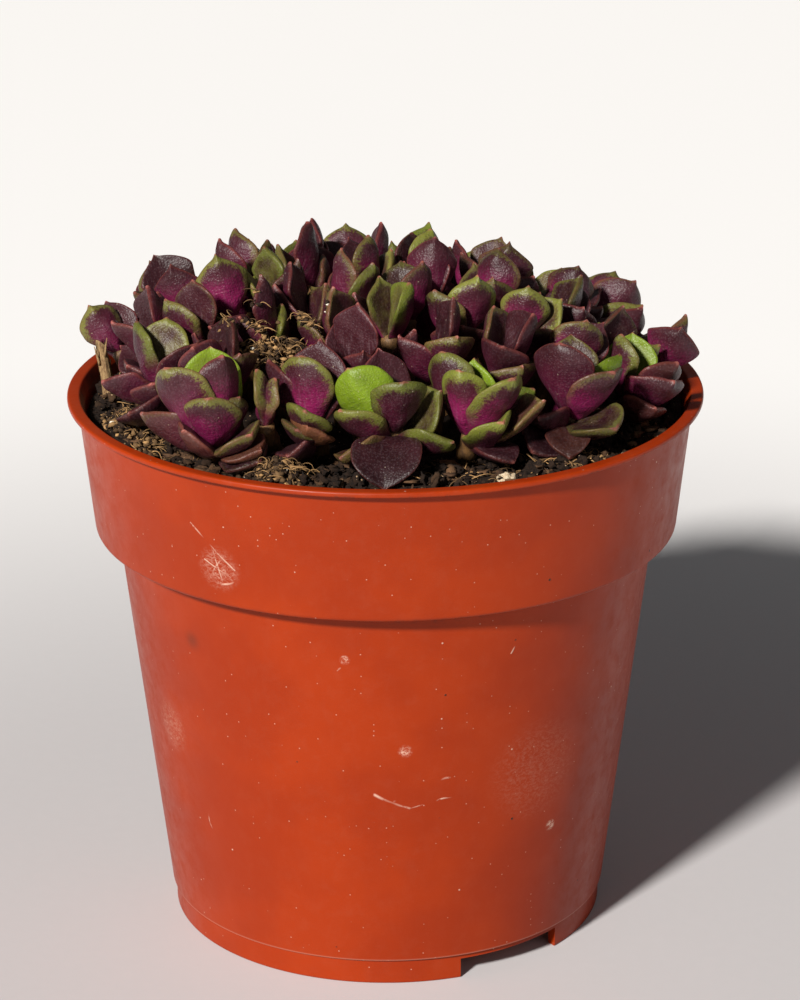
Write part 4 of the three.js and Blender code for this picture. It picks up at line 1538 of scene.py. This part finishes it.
def pile_of_peat(count, chance, leaves, x, y, wide, deep, high, share, held_at=0, sag=0):
    """Crumbs and fibres, heaped up in the middle and thinner outwards."""
    pile = Heap("pale")
    shape, faces = stone_shape(1)
    forms = [lumpy(shape, seed, *LUMPY["pile"]) for seed in range(40, 40 + CRUMB_FORMS)]
    for i in range(int(count * share)):
        at_x, at_y = x + chance.gauss(0, wide), y + chance.gauss(0, deep)
        if math.hypot(at_x, at_y) > LITTER_RADIUS:
            continue
        level = float(soil_height(at_x, at_y))
        if held_at:
            hit = leaves.ray_cast(Vector((at_x * MM, at_y * MM, 0.2)), Vector((0, 0, -1)))[0]
            level = max(held_at, hit.z / MM if hit else 0)
        off = math.hypot((at_x - x) / wide, (at_y - y) / deep)
        top = level + high * math.exp(-0.5 * off * off) * chance.random()
        if level == held_at:
            top -= sag * chance.random()
        size = PILE_CRUMB["least"] + PILE_CRUMB["larger"] * chance.random() ** 2
        points = turned(forms[i % CRUMB_FORMS] * size * np.array(PILE_CRUMB["flat"]), chance)
        bright = chance.random()
        place = (at_x, at_y, top + size * PILE_CRUMB["lift"])
        material = int(bright > PILE_CRUMB["bright_from"])
        pile.add(points + place, faces, material, pale=(bright**3, 0, 0))
        if i % CRUMBS_PER_FIBRE == 0:
            add_fibre(pile, chance, at_x, at_y, top + 0.2, FIBRE["short_step"])
    return pile


def add_fibre(heap, chance, x, y, z, step):
    """A curved fibre that starts at a place, unless it would touch the pot."""
    way, curl = chance.uniform(0, FULL_TURN), chance.uniform(-FIBRE["curl"], FIBRE["curl"])
    bow = chance.uniform(*FIBRE["bow"])
    path = []
    for i in range(FIBRE["points"]):
        path.append((x, y, z + bow * math.sin(i * FIBRE["bow_turn"])))
        x, y, way = x + step * math.cos(way), y + step * math.sin(way), way + curl
    if math.hypot(x, y) < LITTER_RADIUS - GAP:
        radii = np.linspace(*FIBRE["radii"], FIBRE["points"])
        points = tube(path, radii, FIBRE["around"])
        faces = tube_faces(FIBRE["points"], FIBRE["around"])
        heap.add(points, faces, pale=(chance.random(), 0, 0))


def leaf_tree():
    """A tree of all the leaves' faces, to find what lies under a place."""
    points, faces = [], []
    for name in SHOOTS:
        mesh = bpy.data.objects[f"{name}_leaves"].data
        start = len(points)
        points += [corner.co.copy() for corner in mesh.vertices]
        faces += [[start + i for i in face.vertices] for face in mesh.polygons]
    return BVHTree.FromPolygons(points, faces)


# The lumps stand out of the solid, so each grain is made a little smaller.
GRAIN_SHARE = 0.86


def make_perlite(soil):
    """Grains of perlite: rough, white and full of pits, where their solids are."""
    grit = grain_finish("perlite", soil.grit_dark, soil.grit, grain=0.5, depth=0.25, rough=0.85)
    form, faces = stone_shape(4)
    for name, (place, size, turn) in CHIPS.items():
        seed = turn / 10
        points = lumpy(form, seed, *LUMPY["perlite"])
        points = lumpy(points, seed + 3, *LUMPY["pits"]) * np.array(size) * GRAIN_SHARE
        points = points @ np.array(Matrix.Rotation(-math.radians(turn), 3, "Z"))
        z = float(soil_height(*place)) + CHIP_RISE
        heap = Heap()
        heap.add(points + (*place, z), faces)
        piece = heap.piece(f"{name}_grain", [grit])
        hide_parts(name)
        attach(piece, "root")


# The dead stalk, which starts at a share of the height of its solid, and its torn strips.
STALK = {"rings": 40, "around": 24, "from": 0.3, "torn_from": 0.75, "deepest_tear": 1.3}
STRIPS = {
    "count": 5,
    "turn": 1.3,
    "from": 0.55,
    "step": 0.08,
    "out": 0.8,
    "points": 6,
    "radii": (0.22, 0.05),
    "rise": 0.55,
    "lean": 0.12,
}


def make_dry_stalk(soil):
    """The stub of a dead stalk: ribbed, split at the top, with torn strips."""
    foot, top = np.array(DRY_STALK["foot"], float), np.array(DRY_STALK["top"], float)
    rings, around = STALK["rings"], STALK["around"]
    share = np.linspace(STALK["from"], 1, rings)
    path = foot + (top - foot) * share[:, None]
    radii = DRY_STALK["foot_radius"] + (DRY_STALK["top_radius"] - DRY_STALK["foot_radius"]) * share
    points = tube(path, radii, around).reshape(rings, around, 3)
    middle = path[:, None]
    side = np.arange(around)
    ribs = 1 + 0.1 * np.sin(side * 2.62)[None] + 0.07 * np.sin(side * 1.3 + 6 * share[:, None])
    points = middle + (points - middle) * ribs[..., None]
    torn = STALK["deepest_tear"] * np.abs(np.sin(side * 1.7 + 0.6)) ** 2
    torn_from = STALK["torn_from"]
    near_top = np.clip((share - torn_from) / (1 - torn_from), 0, 1)[:, None]
    points[..., 2] -= torn[None] * near_top**2
    heap = Heap()
    heap.add(points.reshape(-1, 3), tube_faces(rings, around))
    for k in range(STRIPS["count"]):
        turn = k * STRIPS["turn"]
        out = np.array([math.cos(turn), math.sin(turn), 0])
        start = foot + (top - foot) * (STRIPS["from"] + STRIPS["step"] * k) + out * STRIPS["out"]
        steps = np.arange(STRIPS["points"])[:, None]
        strip = start + out * STRIPS["lean"] * steps**1.2 + np.array([0, 0, STRIPS["rise"]]) * steps
        radii = np.linspace(*STRIPS["radii"], STRIPS["points"])
        heap.add(tube(strip, radii, STRIPS["points"]), tube_faces(STRIPS["points"], STRIPS["points"]))
    look = {"grain": 0.5, "depth": 0.2, "rough": 0.85, "stretch": (1, 1, 0.2)}
    straw = grain_finish("dry_stalk", soil.bark, soil.straw, **look)
    piece = heap.piece("dry_stalk_stub", [straw])
    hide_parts("dry_stalk")
    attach(piece, "root")


# ---------------------------------------------------------------- stage

CAMERA = {
    "place": (1.91, -469.8, 229.0),
    "down": 20.02,
    "roll": -0.166,
    "lens": 132.93,
    "sensor": 36,
}
FLOOR = {"radius": 3000, "sides": 64, "grain": (0.5, 3.0), "darker": 0.97}
# Lamps and what they point at are in metres.
LIT = (0, 0, 0.06)
SUN_PLACE, SUN_COLOUR = (-0.52, -0.85, 0.72), (1.0, 0.965, 0.91)
FILL_PLACE, FILL_COLOUR, FILL_SIZE = (0.7, -0.6, 0.5), (0.92, 0.95, 1.0), 0.8


def lamp(name, kind, place, power, colour):
    """A lamp that points at the middle of the plant."""
    data = bpy.data.lights.new(name, kind)
    data.energy = power
    data.color = colour
    made = bpy.data.objects.new(name, data)
    made.location = place
    made.rotation_euler = (Vector(LIT) - Vector(place)).to_track_quat("-Z", "Y").to_euler()
    bpy.context.scene.collection.objects.link(made)
    return data


def make_floor(stage):
    """A wide pale floor, paler farther out."""
    angles = np.linspace(0, 2 * np.pi, FLOOR["sides"], endpoint=False)
    points = np.stack([np.cos(angles), np.sin(angles), 0 * angles], axis=1) * FLOOR["radius"]
    heap = Heap()
    heap.add(points, [list(range(len(angles)))])
    material, tree, shader = new_finish("studio_paper", Roughness=0.7)
    skin = place_in_mm(tree)
    far = between(vectors("LENGTH", skin), stage.paler_from / MM, stage.paler_to / MM)
    darker = [FLOOR["darker"] * part for part in stage.floor]
    paper = blend(cloud(skin, *FLOOR["grain"]), stage.floor, darker)
    feed(shader.inputs["Base Color"], blend(far, paper, stage.floor_far))
    heap.piece("floor", [material])


def make_camera():
    """The camera, level but for a small roll, in front of the plant."""
    data = bpy.data.cameras.new("camera")
    data.lens = CAMERA["lens"]
    data.sensor_width = CAMERA["sensor"]
    camera = bpy.data.objects.new("camera", data)
    tilt = Matrix.Rotation(math.radians(90 - CAMERA["down"]), 4, "X")
    roll = Matrix.Rotation(math.radians(CAMERA["roll"]), 4, "Z")
    camera.matrix_world = Matrix.Translation([side * MM for side in CAMERA["place"]]) @ tilt @ roll
    bpy.context.scene.collection.objects.link(camera)
    bpy.context.scene.camera = camera


def make_stage(stage):
    """The floor, the lamps, the even light and the camera."""
    make_floor(stage)
    lamp("key_lamp", "SUN", SUN_PLACE, stage.key_power, SUN_COLOUR).angle = stage.key_angle
    fill = lamp("fill_lamp", "AREA", FILL_PLACE, stage.fill_power, FILL_COLOUR)
    fill.shape = "DISK"
    fill.size = FILL_SIZE
    world = bpy.data.worlds.new("studio")
    world.use_nodes = True
    background = world.node_tree.nodes["Background"].inputs
    background["Color"].default_value = (1, 1, 1, 1)
    background["Strength"].default_value = stage.sky
    bpy.context.scene.world = world
    bpy.context.scene.view_settings.view_transform = "Standard"
    make_camera()


# ---------------------------------------------------------------- the add-on's own parts


def length(text, default, description):
    return bpy.props.FloatProperty(
        name=text,
        description=description,
        default=default * MM,
        min=0,
        precision=5,
        unit="LENGTH",
        subtype="DISTANCE",
    )


def share(text, default, description):
    return bpy.props.FloatProperty(
        name=text, description=description, default=default, min=0, max=1, subtype="FACTOR"
    )


def colour(text, default, description):
    return bpy.props.FloatVectorProperty(
        name=text, description=description, default=default, size=3, min=0, max=1, subtype="COLOR"
    )


def count(text, default, description):
    return bpy.props.IntProperty(name=text, description=description, default=default, min=0)


class PotSettings(bpy.types.PropertyGroup):
    edge_radius: length("Edge radius", 0.3, "Rounding of the pot's moulded edges")
    colour: colour("Plastic", (0.315, 0.028, 0.001), "Colour of the moulded plastic")
    colour_deep: colour("Deeper plastic", (0.275, 0.023, 0.001), "Colour where the plastic is duller")
    dust: share("Dust", 0.035, "How thick the film of dust is")
    dust_colour: colour("Dust colour", (0.42, 0.2, 0.13), "Colour of the dust")
    # Also the colour of the painted highlight along the edge of the foot.
    scratch_and_painted_highlight_colour: colour("Scratches", (0.75, 0.52, 0.4), "Colour of scratched and scuffed plastic")
    # Also the colour of the dirt and painted shade under the lip and the collar.
    soil_and_painted_shade_colour: colour("Soil stains", (0.05, 0.02, 0.012), "Colour of the dirt that has gathered")


class LeafSettings(bpy.types.PropertyGroup):
    thickness: length("Thickness", LEAF["thickness"], "Thickness of a leaf in its middle")
    keel: length("Keel", LEAF["keel"], "Depth of the keel under a leaf")
    tip_round: length("Tip rounding", 1.1, "Distance over which a leaf thins to its tip")
    point_length: length("Point", 0.55, "Length of the small point at a leaf's tip")
    margin_thinning: share("Margin thinning", 0.52, "How much thinner a leaf is at its margins")
    wrinkle_depth: length("Wrinkle depth", 0.105, "Depth of the wrinkles in the skin")
    maroon: colour("Maroon", (0.074, 0.008, 0.024), "Lower face of a leaf")
    dark: colour("Dark", (0.040, 0.009, 0.013), "Lower face near the tip, and dark upper faces")
    magenta: colour("Magenta", (0.25, 0.012, 0.09), "Lower face near the foot")
    olive: colour("Olive", (0.13, 0.125, 0.026), "Margins and upper faces")
    lime: colour("Lime", (0.16, 0.24, 0.012), "The greenest leaves")
    edge: colour("Edge", (0.13, 0.028, 0.024), "Edge of a dark leaf")
    tip: colour("Tip", (0.3, 0.085, 0.07), "Point at a leaf's tip")
    bloom: colour("Bloom", (0.36, 0.25, 0.28), "Pale stripes and pimples of the skin")
    grit: colour("Grit", (0.4, 0.32, 0.24), "Grains of dust on the leaves")
    husk: colour("Husk", (0.26, 0.11, 0.035), "Dry leaves")
    husk_dark: colour("Dark husk", (0.1, 0.035, 0.02), "Darker parts of dry leaves")
    stem: colour("Stem", (0.22, 0.11, 0.035), "Stems")
    stem_dark: colour("Dark stem", (0.07, 0.035, 0.015), "Darker parts of the stems")


class SoilSettings(bpy.types.PropertyGroup):
    roughness: length("Roughness", 0.7, "Height of the lumps in the soil's top")
    crumbs: count("Crumbs", 5000, "How many crumbs of peat lie on the soil")
    chips: count("Bark chips", 90, "How many chips of bark lie on the soil")
    fibres: count("Fibres", 260, "How many fibres lie on the soil")
    clump: count("Pile crumbs", 900, "How many crumbs make up a pile of dry peat")
    peat: colour("Peat", (0.034, 0.016, 0.008), "Lighter peat")
    dry_peat: colour("Dry peat", (0.5, 0.29, 0.12), "Loose dry peat")
    peat_dark: colour("Dark peat", (0.006, 0.003, 0.002), "Darker peat")
    bark: colour("Bark", (0.14, 0.072, 0.034), "Lighter bark")
    bark_dark: colour("Dark bark", (0.02, 0.01, 0.006), "Darker bark")
    husk: colour("Husks", (0.55, 0.38, 0.22), "Pale bits in the peat")
    straw: colour("Straw", (0.42, 0.28, 0.13), "Dry stalk and fibres")
    grit: colour("Perlite", (0.72, 0.62, 0.45), "Perlite")
    grit_dark: colour("Dark perlite", (0.42, 0.3, 0.18), "Pits of the perlite")


class StageSettings(bpy.types.PropertyGroup):
    floor: colour("Floor", (0.57, 0.555, 0.57), "Floor")
    floor_far: colour("Farther floor", (0.94, 0.94, 0.95), "Floor farther out")
    paler_from: length("Paler from", 60, "Distance at which the floor turns paler")
    paler_to: length("Paler to", 260, "Distance at which the floor is palest")
    key_power: bpy.props.FloatProperty(
        name="Key lamp", description="Strength of the key lamp", default=5.6, min=0, unit="NONE"
    )
    key_angle: bpy.props.FloatProperty(
        name="Key angle",
        description="How wide the key lamp looks",
        default=0.11,
        min=0,
        unit="ROTATION",
        subtype="ANGLE",
    )
    fill_power: bpy.props.FloatProperty(
        name="Fill lamp", description="Power of the fill lamp", default=0.6, min=0, unit="POWER"
    )
    sky: bpy.props.FloatProperty(
        name="Sky", description="Strength of the even light", default=0.09, min=0
    )


class ANACAMPSEROS_OT_make_pot(bpy.types.Operator):
    """Make the nursery pot"""

    bl_idname = "anacampseros.make_pot"
    bl_label = "Pot"

    def execute(self, context):
        make_pot(context.scene.anacampseros_pot)
        return {"FINISHED"}


class ANACAMPSEROS_OT_make_soil(bpy.types.Operator):
    """Make the soil and its crumbs"""

    bl_idname = "anacampseros.make_soil"
    bl_label = "Soil"

    def execute(self, context):
        make_soil(context.scene.anacampseros_soil)
        return {"FINISHED"}


class ANACAMPSEROS_OT_make_shoots(bpy.types.Operator):
    """Make the leafy shoots"""

    bl_idname = "anacampseros.make_shoots"
    bl_label = "Leafy shoots"

    def execute(self, context):
        make_shoots(context.scene.anacampseros_leaves)
        return {"FINISHED"}


class ANACAMPSEROS_OT_make_dry_stalk(bpy.types.Operator):
    """Make the stub of the dead stalk"""

    bl_idname = "anacampseros.make_dry_stalk"
    bl_label = "Dry stalk"

    def execute(self, context):
        make_dry_stalk(context.scene.anacampseros_soil)
        return {"FINISHED"}


class ANACAMPSEROS_OT_make_perlite(bpy.types.Operator):
    """Make the grains of perlite"""

    bl_idname = "anacampseros.make_perlite"
    bl_label = "Perlite"

    def execute(self, context):
        make_perlite(context.scene.anacampseros_soil)
        return {"FINISHED"}


class ANACAMPSEROS_OT_make_litter(bpy.types.Operator):
    """Make the bark, the fibres and the piles of dry peat"""

    bl_idname = "anacampseros.make_litter"
    bl_label = "Litter"

    def execute(self, context):
        make_litter(context.scene.anacampseros_soil)
        return {"FINISHED"}


class ANACAMPSEROS_OT_make_stage(bpy.types.Operator):
    """Make the floor, the lamps and the camera"""

    bl_idname = "anacampseros.make_stage"
    bl_label = "Stage"

    def execute(self, context):
        make_stage(context.scene.anacampseros_stage)
        return {"FINISHED"}


STEPS = (
    ANACAMPSEROS_OT_make_stage,
    ANACAMPSEROS_OT_make_pot,
    ANACAMPSEROS_OT_make_soil,
    ANACAMPSEROS_OT_make_shoots,
    ANACAMPSEROS_OT_make_dry_stalk,
    ANACAMPSEROS_OT_make_perlite,
    ANACAMPSEROS_OT_make_litter,
)
SETTINGS = {
    "anacampseros_pot": PotSettings,
    "anacampseros_leaves": LeafSettings,
    "anacampseros_soil": SoilSettings,
    "anacampseros_stage": StageSettings,
}


class ANACAMPSEROS_PT_sidebar(bpy.types.Panel):
    bl_idname = "ANACAMPSEROS_PT_sidebar"
    bl_label = "Anacampseros"
    bl_space_type = "VIEW_3D"
    bl_region_type = "UI"
    bl_category = "Anacampseros"

    def draw(self, context):
        for step in STEPS:
            self.layout.operator(step.bl_idname)
        for name, settings in SETTINGS.items():
            column = self.layout.column(align=True)
            for prop in settings.__annotations__:
                column.prop(getattr(context.scene, name), prop)


def register():
    for settings in SETTINGS.values():
        bpy.utils.register_class(settings)
    for step in STEPS:
        bpy.utils.register_class(step)
    bpy.utils.register_class(ANACAMPSEROS_PT_sidebar)
    for name, settings in SETTINGS.items():
        setattr(bpy.types.Scene, name, bpy.props.PointerProperty(type=settings))


def unregister():
    for name in SETTINGS:
        delattr(bpy.types.Scene, name)
    bpy.utils.unregister_class(ANACAMPSEROS_PT_sidebar)
    for step in reversed(STEPS):
        bpy.utils.unregister_class(step)
    for settings in SETTINGS.values():
        bpy.utils.unregister_class(settings)


def main():
    register()
    for step in STEPS:
        _, name = step.bl_idname.split(".")
        getattr(bpy.ops.anacampseros, name)()


if __name__ == "__main__":
    main()
